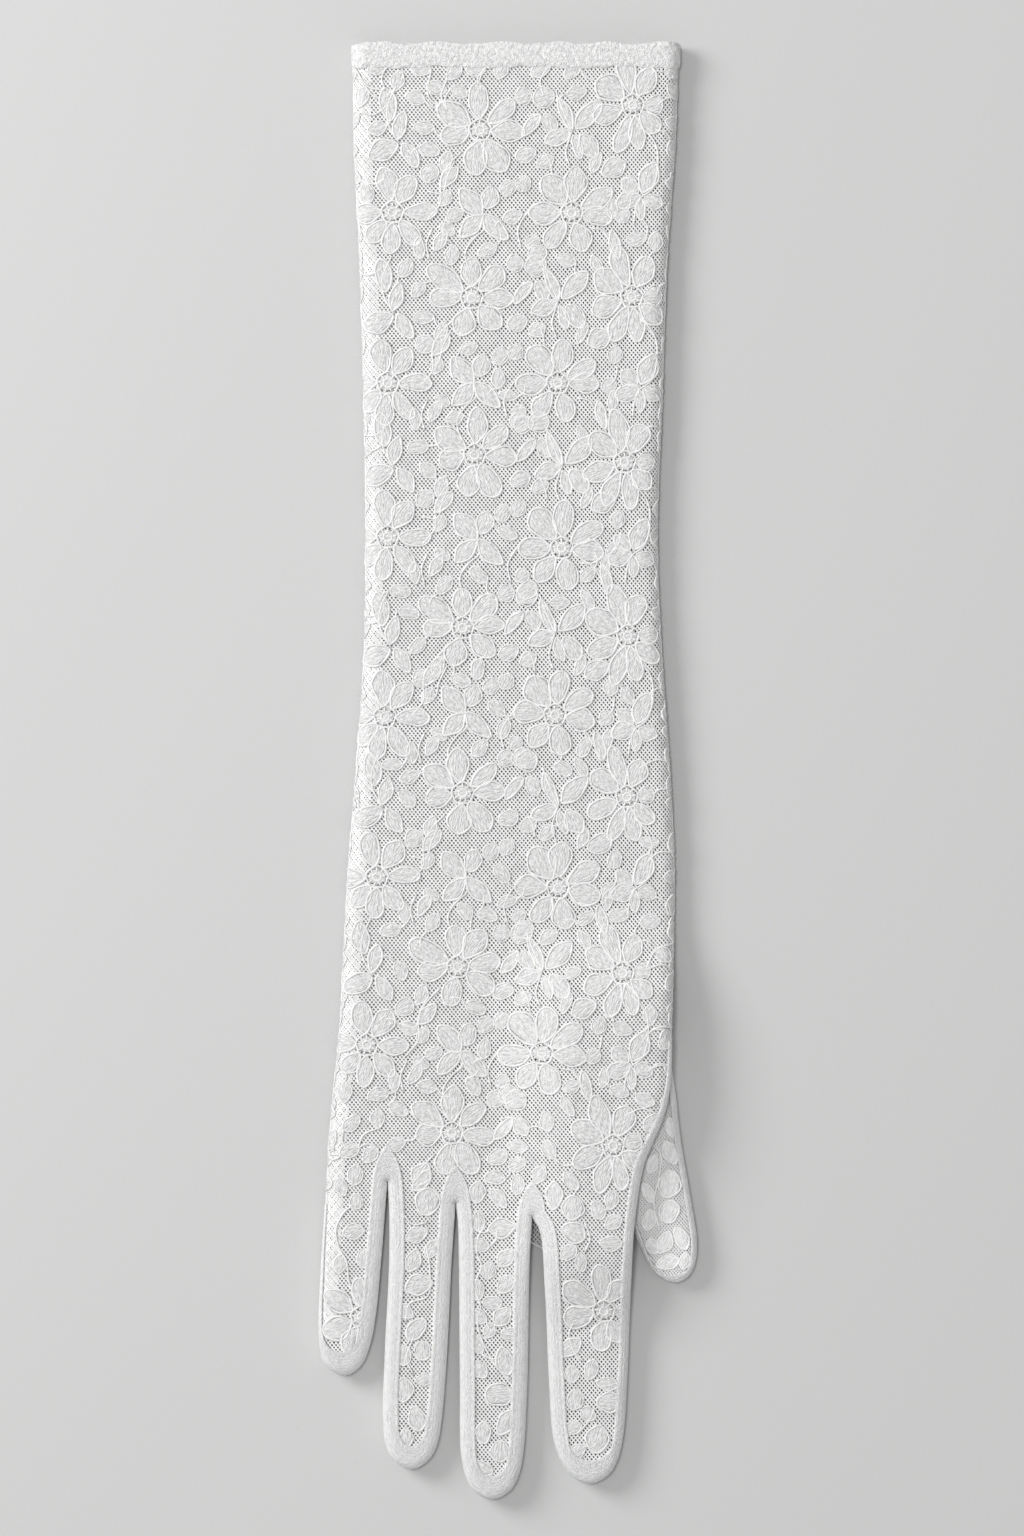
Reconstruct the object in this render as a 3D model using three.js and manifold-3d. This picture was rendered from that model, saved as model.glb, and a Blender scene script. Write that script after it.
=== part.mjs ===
// Elbow-length lace glove for the right hand, lying with the back of the hand up.
// Millimetres, +Z up. +Y runs to the cuff and -Y to the fingertips, and the thumb is at +X.
// The origin is on the surface that the glove lies on, under the middle of the glove.
import * as THREE from 'three';
import { mergeVertices } from 'three/addons/utils/BufferGeometryUtils.js';
import Module from 'manifold-3d';

const wasm = await Module();
wasm.setup();

// Cloth and seams
const cloth = 1.0;           // wall of the lace and of the knitted strips
const seamGap = 0.3;         // clearance between two sewn pieces
const hemProud = 0.3;        // how far the hem stands out past the sleeve
const hemLength = 6.4;
const stripWidth = 3.9;      // width of a finger's side strip, seen from above

// Section of the lying glove: two layers with rounded sides
const gloveHeight = 7.0;
const thumbHeight = 6.4;
const sideRoll = 3.8;        // width of a rounded side, seen from above
const sideUpright = 0.8;     // height of the upright middle of a side
const rollSteps = 2;

// Length of the glove
const cuffY = 195.2;
const pastCuff = 12;         // the hollow and the blanks run this far past the cuff
const belowTips = 12;

// Both long sides from the cuff to the knuckles, one row for each cross-section
const bodySections = [
  { y: 195.2, left: -41.6, right: 45.9 },
  { y: 169.0, left: -41.4, right: 45.1 },
  { y: 137.0, left: -39.9, right: 42.9 },
  { y: 100.0, left: -38.8, right: 41.6 },
  { y: 62.0, left: -38.3, right: 40.3 },
  { y: 30.0, left: -38.8, right: 41.6 },
  { y: 3.0, left: -40.7, right: 43.5 },
  { y: -24.0, left: -42.8, right: 44.8 },
  { y: -50.0, left: -44.3, right: 44.5 },
  { y: -72.0, left: -45.5, right: 43.9 },
  { y: -82.0, left: -46.6, right: 43.6 },
  { y: -89.0, left: -47.3, right: 42.6 },
  { y: -94.5, left: -47.8, right: 40.9 },
  { y: -100.0, left: -48.2, right: 38.5 },
  { y: -105.0, left: -48.5, right: 36.5 },
  { y: -111.0, left: -48.8, right: 35.2 },
];

// Each finger from its base to its shoulder, one row for each cross-section, then the tip
const fingers = [
  {
    name: 'little',
    tip: { x: -43.6, y: -162.0 },
    rows: [
      { y: -116.0, left: -49.0, right: -32.8 },
      { y: -131.0, left: -50.0, right: -34.0 },
      { y: -147.0, left: -50.7, right: -35.6 },
      { y: -154.5, left: -50.4, right: -37.2 },
      { y: -159.3, left: -48.9, right: -39.4 },
    ],
  },
  {
    name: 'ring',
    tip: { x: -25.9, y: -187.2 },
    rows: [
      { y: -116.0, left: -31.9, right: -14.5 },
      { y: -131.0, left: -31.8, right: -15.1 },
      { y: -155.0, left: -32.9, right: -16.3 },
      { y: -174.0, left: -33.4, right: -17.8 },
      { y: -180.5, left: -32.7, right: -19.0 },
      { y: -184.6, left: -30.8, right: -21.2 },
    ],
  },
  {
    name: 'middle',
    tip: { x: -4.2, y: -195.2 },
    rows: [
      { y: -121.0, left: -13.4, right: 5.9 },
      { y: -131.0, left: -13.1, right: 5.8 },
      { y: -163.0, left: -12.8, right: 5.2 },
      { y: -183.0, left: -12.5, right: 4.1 },
      { y: -189.3, left: -11.2, right: 2.7 },
      { y: -192.9, left: -9.2, right: 0.6 },
    ],
  },
  {
    name: 'index',
    tip: { x: 22.0, y: -191.0 },
    rows: [
      { y: -123.0, left: 8.6, right: 33.7 },
      { y: -139.0, left: 10.0, right: 32.9 },
      { y: -163.0, left: 11.1, right: 32.0 },
      { y: -179.0, left: 12.3, right: 30.8 },
      { y: -185.2, left: 14.4, right: 29.2 },
      { y: -188.8, left: 17.0, right: 26.9 },
    ],
  },
];

// Where two fingers part, and the peak of the side strip above it
const crotches = [
  { x: -32.3, y: -110.3, peakY: -104.2 },
  { x: -14.0, y: -115.9, peakY: -106.3 },
  { x: 6.5, y: -119.4, peakY: -110.8 },
];

// Thumb under the palm, one row for each cross-section, with its base and its tip
const thumbBase = { x: 36.0, y: -70.5 };
const thumbTip = { x: 45.2, y: -137.1 };
const thumbRows = [
  { y: -74.0, left: 29.0, right: 42.0 },
  { y: -82.0, left: 25.2, right: 44.3 },
  { y: -99.0, left: 25.8, right: 46.4 },
  { y: -115.0, left: 31.0, right: 49.1 },
  { y: -126.0, left: 34.9, right: 50.7 },
  { y: -131.5, left: 37.3, right: 50.3 },
  { y: -135.0, left: 40.0, right: 48.8 },
];

// Oval hole from the palm into the thumb
const thumbHole = { x: 33.2, y: -89.0, halfWidth: 5.2, halfLength: 13.0 };

// The hand lies over the thumb: it rises by lift, fully inside full and not at all outside none
const lift = thumbHeight + 0.4;
const riseX = { none: 0.0, full: 19.5 };
const riseY = { none: -36.0, full: -66.0 };
const fallY = { full: -125.0, none: -153.0 };
const bentEdge = 13.0;       // longest edge where the cloth bends over the thumb

// Low web between the middle and index fingers, on the palm side
const web = { bottom: 1.0, top: 2.0, upperY: -116.5, leftX: 4.7, leftY: -125.6, rightX: 10.4, rightY: -128.6 };

const sideParts = 1;         // parts of a long side's curve from one section to the next
const fingerParts = 2;       // parts of a finger's curve from one section to the next

// Smooth curve through the points, with each stretch between two of them cut into equal parts
function curvePoints(points, parts) {
  const knots = points.map((p) => new THREE.Vector3(p.x, p.y, 0));
  const curve = new THREE.CatmullRomCurve3(knots, false, 'centripetal');
  return curve.getPoints(parts * (points.length - 1)).map((p) => new THREE.Vector2(p.x, p.y));
}

// Points of one finger's edge: down its left side, round the tip and up its right side
function fingerEdge(rows, tip) {
  const left = rows.map((row) => ({ x: row.left, y: row.y }));
  const right = rows.map((row) => ({ x: row.right, y: row.y })).reverse();
  return curvePoints([...left, tip, ...right], fingerParts);
}

// Outline of the whole glove without the thumb, open past the cuff
function gloveOutline() {
  const first = bodySections[0];
  const knuckles = fingers[0].rows[0];
  const indexBase = fingers[3].rows[0];
  const leftSide = bodySections.map((row) => ({ x: row.left, y: row.y }));
  const rightSide = bodySections.map((row) => ({ x: row.right, y: row.y })).reverse();
  const down = curvePoints([...leftSide, { x: knuckles.left, y: knuckles.y }], sideParts);
  const up = curvePoints([{ x: indexBase.right, y: indexBase.y }, ...rightSide], sideParts);
  const points = [new THREE.Vector2(first.left, cuffY + pastCuff), ...down.slice(0, -1)];
  fingers.forEach((finger, i) => {
    points.push(...fingerEdge(finger.rows, finger.tip));
    if (i < crotches.length) {
      points.push(new THREE.Vector2(crotches[i].x, crotches[i].y));
    }
  });
  points.push(...up.slice(1), new THREE.Vector2(first.right, cuffY + pastCuff));
  return points;
}

// Outline of the thumb, closed round its base under the palm
function thumbOutline() {
  const around = fingerEdge(thumbRows, thumbTip);
  return [...around, new THREE.Vector2(thumbBase.x, thumbBase.y)];
}

// Solid from a closed geometry
function solid(geometry) {
  geometry.deleteAttribute('normal');
  geometry.deleteAttribute('uv');
  const merged = mergeVertices(geometry, 1e-4);
  return new wasm.Manifold(new wasm.Mesh({
    numProp: 3,
    vertProperties: Float32Array.from(merged.attributes.position.array),
    triVerts: Uint32Array.from(merged.index.array),
  }));
}

// Flat-topped solid with quarter-round sides; inset gives the hollow inside the cloth
function pillow(outline, height, inset, grow = 0) {
  const roll = sideRoll - inset;
  const rise = (height - sideUpright) / 2 - inset;
  const geometry = new THREE.ExtrudeGeometry(new THREE.Shape(outline), {
    depth: sideUpright,
    steps: 1,
    bevelEnabled: true,
    bevelThickness: rise,
    bevelSize: roll,
    bevelOffset: grow - inset - roll,
    bevelSegments: rollSteps,
  });
  geometry.translate(0, 0, (height - sideUpright) / 2);
  return solid(geometry);
}

// Upright prism on an outline
function prism(outline, bottom, top) {
  const geometry = new THREE.ExtrudeGeometry(new THREE.Shape(outline), {
    depth: top - bottom,
    steps: 1,
    bevelEnabled: false,
  });
  geometry.translate(0, 0, bottom);
  return solid(geometry);
}

// Block that spans the whole width, between two heights and two places along the glove
function block(lowY, highY, bottom, top) {
  const width = 160;
  const geometry = new THREE.BoxGeometry(width, highY - lowY, top - bottom);
  geometry.translate(0, (highY + lowY) / 2, (top + bottom) / 2);
  return solid(geometry);
}

// Side strips between two fingers, seen from above: up one finger, over the crotch, down the next
function stripOutline(i, clearance) {
  const reach = stripWidth + clearance;
  const floorY = cuffY * -1 - belowTips;
  const one = fingers[i];
  const next = fingers[i + 1];
  const oneRows = one.rows.filter((row) => row.y > one.tip.y + 2 * stripWidth).reverse();
  const nextRows = next.rows.filter((row) => row.y > next.tip.y + 2 * stripWidth);
  const peak = crotches[i].peakY + 1.5 * clearance;
  return [
    new THREE.Vector2(one.tip.x - clearance, floorY),
    new THREE.Vector2(one.tip.x - clearance, one.tip.y + 1.3 * stripWidth + clearance),
    ...oneRows.map((row) => new THREE.Vector2(row.right - reach, row.y)),
    new THREE.Vector2(crotches[i].x, peak),
    ...nextRows.map((row) => new THREE.Vector2(row.left + reach, row.y)),
    new THREE.Vector2(next.tip.x + clearance, next.tip.y + 1.3 * stripWidth + clearance),
    new THREE.Vector2(next.tip.x + clearance, floorY),
  ].reverse();
}

// Smooth step from 0 at none to 1 at full
function smooth(value, ends) {
  const t = Math.min(1, Math.max(0, (value - ends.none) / (ends.full - ends.none)));
  return t * t * (3 - 2 * t);
}

// Height that the thumb gives the hand lying over it
function liftAt(x, y) {
  return lift * smooth(x, riseX) * smooth(y, riseY) * smooth(y, fallY);
}

// Whether an edge reaches into the stretch that the thumb lifts
function bends(a, b) {
  const inside = Math.max(a.x, b.x) > riseX.none;
  return inside && Math.min(a.y, b.y) < riseY.none && Math.max(a.y, b.y) > fallY.none;
}

// Splits each long edge that bends at its middle, the longest edge of a triangle first
function splitLongEdges(triangles) {
  const waiting = [...triangles];
  const done = [];
  while (waiting.length > 0) {
    const corners = waiting.pop();
    let longest = -1;
    let length = bentEdge;
    for (let k = 0; k < 3; k += 1) {
      const from = corners[k];
      const to = corners[(k + 1) % 3];
      const distance = from.distanceTo(to);
      if (distance > length && bends(from, to)) {
        longest = k;
        length = distance;
      }
    }
    if (longest < 0) {
      done.push(corners);
    } else {
      const from = corners[longest];
      const to = corners[(longest + 1) % 3];
      const far = corners[(longest + 2) % 3];
      const middle = from.clone().add(to).multiplyScalar(0.5);
      waiting.push([from, middle, far], [middle, to, far]);
    }
  }
  return done;
}

// Named mesh from a solid, bent over the thumb where lifted is true
function piece(name, body, material, lifted) {
  const { vertProperties, triVerts } = body.getMesh();
  const corner = (index) => new THREE.Vector3().fromArray(vertProperties, 3 * index);
  let triangles = [];
  for (let t = 0; t < triVerts.length; t += 3) {
    triangles.push([corner(triVerts[t]), corner(triVerts[t + 1]), corner(triVerts[t + 2])]);
  }
  if (lifted) {
    triangles = splitLongEdges(triangles);
  }
  const points = triangles.flat().map((p) => (lifted ? [p.x, p.y, p.z + liftAt(p.x, p.y)] : p.toArray()));
  const geometry = new THREE.BufferGeometry();
  geometry.setAttribute('position', new THREE.Float32BufferAttribute(points.flat(), 3));
  const merged = mergeVertices(geometry, 1e-4);
  merged.computeVertexNormals();
  const mesh = new THREE.Mesh(merged, material);
  mesh.name = name;
  return mesh;
}

const laceWhite = new THREE.MeshStandardMaterial({ color: 0xe9e9e9, roughness: 0.85, metalness: 0 });
const knitWhite = new THREE.MeshStandardMaterial({ color: 0xf1f1f1, roughness: 0.9, metalness: 0 });
const hemWhite = new THREE.MeshStandardMaterial({ color: 0xeeeeee, roughness: 0.95, metalness: 0 });

// The hollow glove, cut into its sewn pieces while it is flat
const outline = gloveOutline();
const shell = pillow(outline, gloveHeight, 0).subtract(pillow(outline, gloveHeight, cloth));
const hemStart = cuffY - hemLength;
const floorY = -cuffY - belowTips;
const aboveAll = gloveHeight + belowTips;
const seamZ = gloveHeight / 2;

let panels = shell.intersect(block(floorY, hemStart - seamGap, -belowTips, aboveAll));
crotches.forEach((crotch, i) => {
  panels = panels.subtract(prism(stripOutline(i, seamGap), -belowTips, aboveAll));
});

const backPanel = panels.intersect(block(floorY, cuffY, seamZ + seamGap / 2, aboveAll));
const palmBlank = panels.intersect(block(floorY, cuffY, -belowTips, seamZ - seamGap / 2));

const ovalPoints = new THREE.EllipseCurve(
  thumbHole.x, thumbHole.y, thumbHole.halfWidth, thumbHole.halfLength,
).getPoints(16).slice(0, -1);
const hole = prism(ovalPoints, thumbHeight / 2, aboveAll);
const palmHole = prism(ovalPoints, -belowTips, seamZ);
const palmPanel = palmBlank.subtract(palmHole);

const thumbSkin = pillow(thumbOutline(), thumbHeight, 0);
const thumb = thumbSkin.subtract(pillow(thumbOutline(), thumbHeight, cloth)).subtract(hole);

const hemBlank = pillow(outline, gloveHeight, 0, hemProud).subtract(pillow(outline, gloveHeight, cloth));
const hem = hemBlank.intersect(block(hemStart, cuffY, -belowTips, aboveAll));

const webOutline = [
  new THREE.Vector2(web.leftX, web.upperY),
  new THREE.Vector2(web.leftX, web.leftY),
  new THREE.Vector2(web.rightX, web.rightY),
  new THREE.Vector2(web.rightX, web.upperY),
];

const glove = new THREE.Group();
glove.add(piece('back_panel', backPanel, laceWhite, true));
glove.add(piece('palm_panel', palmPanel, laceWhite, true));
glove.add(piece('thumb', thumb, laceWhite, false));
glove.add(piece('hem', hem, hemWhite, false));
crotches.forEach((crotch, i) => {
  let strip = shell.intersect(prism(stripOutline(i, 0), -belowTips, aboveAll));
  if (i === crotches.length - 1) {
    strip = strip.add(prism(webOutline, web.bottom, web.top));
  }
  glove.add(piece(`fourchette_${i + 1}`, strip, knitWhite, true));
});

export default glove;
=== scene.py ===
# Long lace glove for the right hand, made of threads: a net, flowers with corded outlines, and knitted
# bands and hem. Sizes are millimetres until addMesh makes them metres. +Y is the cuff, the thumb is at +X.
import math

import bpy
import numpy as np
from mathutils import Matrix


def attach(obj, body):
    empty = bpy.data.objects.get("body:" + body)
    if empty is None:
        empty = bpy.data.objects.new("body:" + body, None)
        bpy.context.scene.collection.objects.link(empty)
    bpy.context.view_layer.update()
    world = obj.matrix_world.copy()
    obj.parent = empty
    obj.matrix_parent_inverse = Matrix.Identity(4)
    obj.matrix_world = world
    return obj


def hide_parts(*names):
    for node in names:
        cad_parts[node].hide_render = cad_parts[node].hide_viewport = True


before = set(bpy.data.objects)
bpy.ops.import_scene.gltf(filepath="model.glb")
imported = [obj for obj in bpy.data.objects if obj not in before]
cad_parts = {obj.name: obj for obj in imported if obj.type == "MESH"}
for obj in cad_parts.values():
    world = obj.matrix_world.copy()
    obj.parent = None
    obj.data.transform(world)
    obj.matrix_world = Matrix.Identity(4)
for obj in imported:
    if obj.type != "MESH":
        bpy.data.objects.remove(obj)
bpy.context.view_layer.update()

# What the glove lies like. Rows are (y, left edge, right edge), as the solids have them.
shape = {
    "height": 7.0,        # two layers and the air between them
    "thumbHeight": 6.4,   # of the thumb's own two layers
    "roll": 3.8,          # width of a rounded side, seen from above
    "upright": 0.8,       # upright middle of a side
    "cuffY": 195.2,
    "hemLength": 6.4,
    "body": [
        (195.2, -41.6, 45.9), (169.0, -41.4, 45.1), (137.0, -39.9, 42.9), (100.0, -38.8, 41.6),
        (62.0, -38.3, 40.3), (30.0, -38.8, 41.6), (3.0, -40.7, 43.5), (-24.0, -42.8, 44.8),
        (-50.0, -44.3, 44.5), (-72.0, -45.5, 43.9), (-82.0, -46.6, 43.6), (-89.0, -47.3, 42.6),
        (-94.5, -47.8, 40.9), (-100.0, -48.2, 38.5), (-105.0, -48.5, 36.5), (-111.0, -48.8, 35.2),
    ],
    "fingers": [
        {"name": "little", "tip": (-43.6, -162.0), "rows": [
            (-116.0, -49.0, -32.8), (-131.0, -50.0, -34.0), (-147.0, -50.7, -35.6),
            (-154.5, -50.4, -37.2), (-159.3, -48.9, -39.4)]},
        {"name": "ring", "tip": (-25.9, -187.2), "rows": [
            (-116.0, -31.9, -14.5), (-131.0, -31.8, -15.1), (-155.0, -32.9, -16.3),
            (-174.0, -33.4, -17.8), (-180.5, -32.7, -19.0), (-184.6, -30.8, -21.2)]},
        {"name": "middle", "tip": (-4.2, -195.2), "rows": [
            (-121.0, -13.4, 5.9), (-131.0, -13.1, 5.8), (-163.0, -12.8, 5.2),
            (-183.0, -12.5, 4.1), (-189.3, -11.2, 2.7), (-192.9, -9.2, 0.6)]},
        {"name": "index", "tip": (22.0, -191.0), "rows": [
            (-123.0, 8.6, 33.7), (-139.0, 10.0, 32.9), (-163.0, 11.1, 32.0),
            (-179.0, 12.3, 30.8), (-185.2, 14.4, 29.2), (-188.8, 17.0, 26.9)]},
    ],
    # between two fingers: x, y and the y that the arch over it reaches
    "crotches": [(-32.3, -110.3, -99.8), (-14.0, -115.9, -105.4), (6.5, -119.4, -109.6)],
    "fingerLine": -111.0,     # y where the hand ends
    "thumbBase": (36.0, -70.5),
    "thumbTip": (45.2, -137.1),
    "thumbRows": [
        (-74.0, 29.0, 42.0), (-82.0, 25.2, 44.3), (-99.0, 25.8, 46.4), (-115.0, 31.0, 49.1),
        (-126.0, 34.9, 50.7), (-131.5, 37.3, 50.3), (-135.0, 40.0, 48.8)],
    "lift": 6.8,          # how far the thumb raises the hand that lies over it:
    "riseX": (-6.0, 19.5),        # over this stretch from the left,
    "riseY": (-36.0, -66.0),      # from above
    "fallY": (-153.0, -125.0),    # and from the fingertips
    "rollSteps": 40,      # points of each quarter of a rolled side
    "sideParts": 10,      # points between two rows of the cloth's edge
    "curveParts": 24,     # the same for a band's edge
}
hemStart = shape["cuffY"] - shape["hemLength"]


def easeStep(value, start, end):
    # 0 before start, 1 after end, 3t^2 - 2t^3 between them
    t = np.clip((value - start) / (end - start), 0.0, 1.0)
    return t * t * (3.0 - 2.0 * t)


def liftAt(x, y):
    # height that the thumb gives the hand above it: three steps multiplied
    return (shape["lift"] * easeStep(x, *shape["riseX"]) * easeStep(y, *shape["riseY"])
            * easeStep(y, *shape["fallY"]))


def edgeOf(rows, hand):
    # the left (hand -1) or right (hand 1) edge of such rows as points (x, y)
    return [(row[1 if hand < 0 else 2], row[0]) for row in rows]


def smoothCurve(points, parts):
    # centripetal Catmull-Rom curve through the points, with each stretch cut into equal parts
    p = np.asarray(points, float)
    p = np.vstack([2 * p[0] - p[1], p, 2 * p[-1] - p[-2]])
    knot = np.concatenate([[0.0], np.cumsum(np.sqrt(np.linalg.norm(np.diff(p, axis=0), axis=1)))])
    p0, p1, p2, p3 = (p[k:len(p) - 3 + k, None, :] for k in range(4))
    t0, t1, t2, t3 = (knot[k:len(p) - 3 + k, None, None] for k in range(4))
    t = t1 + (t2 - t1) * (np.arange(parts) / parts)[None, :, None]
    a1 = ((t1 - t) * p0 + (t - t0) * p1) / (t1 - t0)
    a2 = ((t2 - t) * p1 + (t - t1) * p2) / (t2 - t1)
    a3 = ((t3 - t) * p2 + (t - t2) * p3) / (t3 - t2)
    b1 = ((t2 - t) * a1 + (t - t0) * a2) / (t2 - t0)
    b2 = ((t3 - t) * a2 + (t - t1) * a3) / (t3 - t1)
    curve = ((t2 - t) * b1 + (t - t1) * b2) / (t2 - t1)
    return np.vstack([curve.reshape(-1, p.shape[1]), p[-2]])


def sideTable(points):
    # an edge as x for each y, sorted for interpolation
    curve = smoothCurve(points, shape["sideParts"])
    order = np.argsort(curve[:, 1])
    return curve[order, 1], curve[order, 0]


def rollTable(height, inset, power=1.0):
    # section of a side from the flat top round to the flat underside: arc length, way out, drop, normal.
    # Each quarter is x = wide sin^power, y = rise cos^power: an ellipse for 1, squarer for less
    wide = shape["roll"] - inset
    rise = (height - shape["upright"]) / 2 - inset
    lean = np.linspace(0.0, math.pi / 2, shape["rollSteps"])
    out = wide * np.sin(lean) ** power
    drop = rise * (1 - np.cos(lean) ** power)
    normal = np.stack([np.sin(lean) ** (2 - power) / wide, np.cos(lean) ** (2 - power) / rise])
    normal /= np.linalg.norm(normal, axis=0)
    out = np.concatenate([out, out[::-1]])
    drop = np.concatenate([drop, height - 2 * inset - drop[::-1]])
    sideways = np.concatenate([normal[0], normal[0][::-1]])
    upward = np.concatenate([normal[1], -normal[1][::-1]])
    arc = np.concatenate([[0.0], np.cumsum(np.hypot(np.diff(out), np.diff(drop)))])
    return {"arc": arc, "out": out, "drop": drop, "sideways": sideways, "upward": upward}


clothInset = 0.45         # the net's threads lie this far inside the solids' skin


def makePouch(left, right, height, lifted):
    # what two layers of cloth lie on: edges x(y), height, and whether the thumb raises it
    return {"left": sideTable(left), "right": sideTable(right), "height": height, "lifted": lifted,
            "roll": rollTable(height, clothInset)}


def layCloth(flat, side, pouch):
    # lays flat cloth on the glove: what passes a side's flat edge follows the roll by its length.
    # side is 1 for the upper layer and -1 for the under layer
    x, y = flat[..., 0], flat[..., 1]
    left = np.interp(y, *pouch["left"]) + shape["roll"]
    right = np.interp(y, *pouch["right"]) - shape["roll"]
    roll = pouch["roll"]
    hand = np.where(x < (left + right) / 2, -1.0, 1.0)
    base = np.where(hand < 0, left, right)
    past = np.maximum((x - base) * hand, 0.0)
    around = np.minimum(past, roll["arc"][-1])
    out = np.interp(around, roll["arc"], roll["out"]) - (past - around)
    z = pouch["height"] - clothInset - np.interp(around, roll["arc"], roll["drop"])
    nx = np.interp(around, roll["arc"], roll["sideways"]) * hand * (past > 0)
    nz = np.where(past > 0, np.interp(around, roll["arc"], roll["upward"]), 1.0)
    newX = np.where(past > 0, base + hand * out, x)
    if side < 0:
        z = pouch["height"] - z
        nz = -nz
    if pouch["lifted"]:
        z = z + liftAt(newX, y)
    return np.stack([newX, y, z], axis=-1), np.stack([nx, np.zeros_like(nx), nz], axis=-1)


def addMesh(name, corners, quads, triangles, finish, uv=None, flat=0, stands=()):
    # one object from whole arrays, its faces turned outward if the enclosed volume comes out negative.
    # The last faces, as many as flat says, are shaded flat
    quads = np.asarray(quads, np.int64).reshape(-1, 4)
    triangles = np.asarray(triangles, np.int64).reshape(-1, 3)
    halves = np.concatenate([quads[:, [0, 1, 2]], quads[:, [0, 2, 3]], triangles])
    a, b, c = (corners[halves[:, k]] for k in range(3))
    if (a * np.cross(b, c)).sum() < 0:
        quads = quads[:, ::-1]
        triangles = triangles[:, ::-1]
    mesh = bpy.data.meshes.new(name)
    mesh.vertices.add(len(corners))
    mesh.vertices.foreach_set("co", (corners * 0.001).astype(np.float32).ravel())
    loops = np.concatenate([quads.ravel(), triangles.ravel()]).astype(np.int32)
    mesh.loops.add(len(loops))
    mesh.loops.foreach_set("vertex_index", loops)
    starts = np.concatenate([4 * np.arange(len(quads)), quads.size + 3 * np.arange(len(triangles))])
    mesh.polygons.add(len(starts))
    mesh.polygons.foreach_set("loop_start", starts.astype(np.int32))
    mesh.polygons.foreach_set("use_smooth", np.arange(len(starts)) < len(starts) - flat)
    if uv is not None:
        layer = mesh.uv_layers.new(name="threadMap")
        layer.data.foreach_set("uv", uv[loops].astype(np.float32).ravel())
    mesh.update(calc_edges=True)
    mesh.materials.append(finish)
    made = bpy.data.objects.new(name, mesh)
    bpy.context.scene.collection.objects.link(made)
    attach(made, "root")
    if stands:
        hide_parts(*stands)
    print(f"{name}: {len(halves)} triangles, volume {abs((a * np.cross(b, c)).sum() / 6):.0f} mm3")
    return made


def tubes(points, normals, following, radius, sides, firstCorner=90.0):
    # closed round threads: a corner is point + radius (cos turn across + sin turn up). following holds each
    # point's next one on its thread, or -1 at an end. firstCorner is the first turn in degrees, 90 uppermost
    count = len(points)
    has = following >= 0
    before = np.full(count, -1)
    before[following[has]] = np.nonzero(has)[0]
    way = np.zeros_like(points)
    way[has] += points[following[has]] - points[has]
    back = before >= 0
    way[back] += points[back] - points[before[back]]
    way /= np.maximum(np.linalg.norm(way, axis=1, keepdims=True), 1e-9)
    across = np.cross(way, normals)
    across /= np.maximum(np.linalg.norm(across, axis=1, keepdims=True), 1e-9)
    up = np.cross(across, way)
    turn = 2 * math.pi * np.arange(sides) / sides + math.radians(firstCorner)
    ring = np.cos(turn)[None, :, None] * across[:, None, :] + np.sin(turn)[None, :, None] * up[:, None, :]
    corners = points[:, None, :] + ring * np.broadcast_to(radius, (count,))[:, None, None]
    here = np.nonzero(has)[0]
    k = np.arange(sides)
    kNext = (k + 1) % sides
    one = here[:, None] * sides
    two = following[here][:, None] * sides
    quads = np.stack([one + k, two + k, two + kNext, one + kNext], axis=-1).reshape(-1, 4)
    starts = np.nonzero(~back)[0][:, None] * sides
    ends = np.nonzero(~has)[0][:, None] * sides
    fan = np.arange(1, sides - 1)
    startCaps = np.stack([starts + 0 * fan, starts + fan, starts + fan + 1], axis=-1).reshape(-1, 3)
    endCaps = np.stack([ends + 0 * fan, ends + fan + 1, ends + fan], axis=-1).reshape(-1, 3)
    return corners.reshape(-1, 3), quads, np.concatenate([startCaps, endCaps])


def joined(parts):
    # several (corners, quads, triangles) as one
    offset = 0
    corners, quads, triangles = [], [], []
    for partCorners, partQuads, partTriangles in parts:
        corners.append(partCorners)
        quads.append(partQuads + offset)
        triangles.append(partTriangles + offset)
        offset += len(partCorners)
    return np.concatenate(corners), np.concatenate(quads), np.concatenate(triangles)


netSpec = {
    "angles": (50.0, -50.0),
    "spacing": 0.82,      # from one thread to the next
    "radius": 0.215,
    "apart": 0.35,        # radii that one family lies over the cloth's level, and the other under it
    "step": 3.3,          # from one point of a thread to the next
    "waver": 0.06,
    "shortest": 0.5,      # thread that is kept
    "endCrowding": 0.55,  # points lie closer at the ends, where the sides are round
}
palmNetSpec = dict(netSpec, spacing=0.88)
thumbNetSpec = dict(netSpec, spacing=0.64)
edgeNetSpec = dict(netSpec, spacing=0.56, radius=0.15, step=1.6, waver=0.05)


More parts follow.
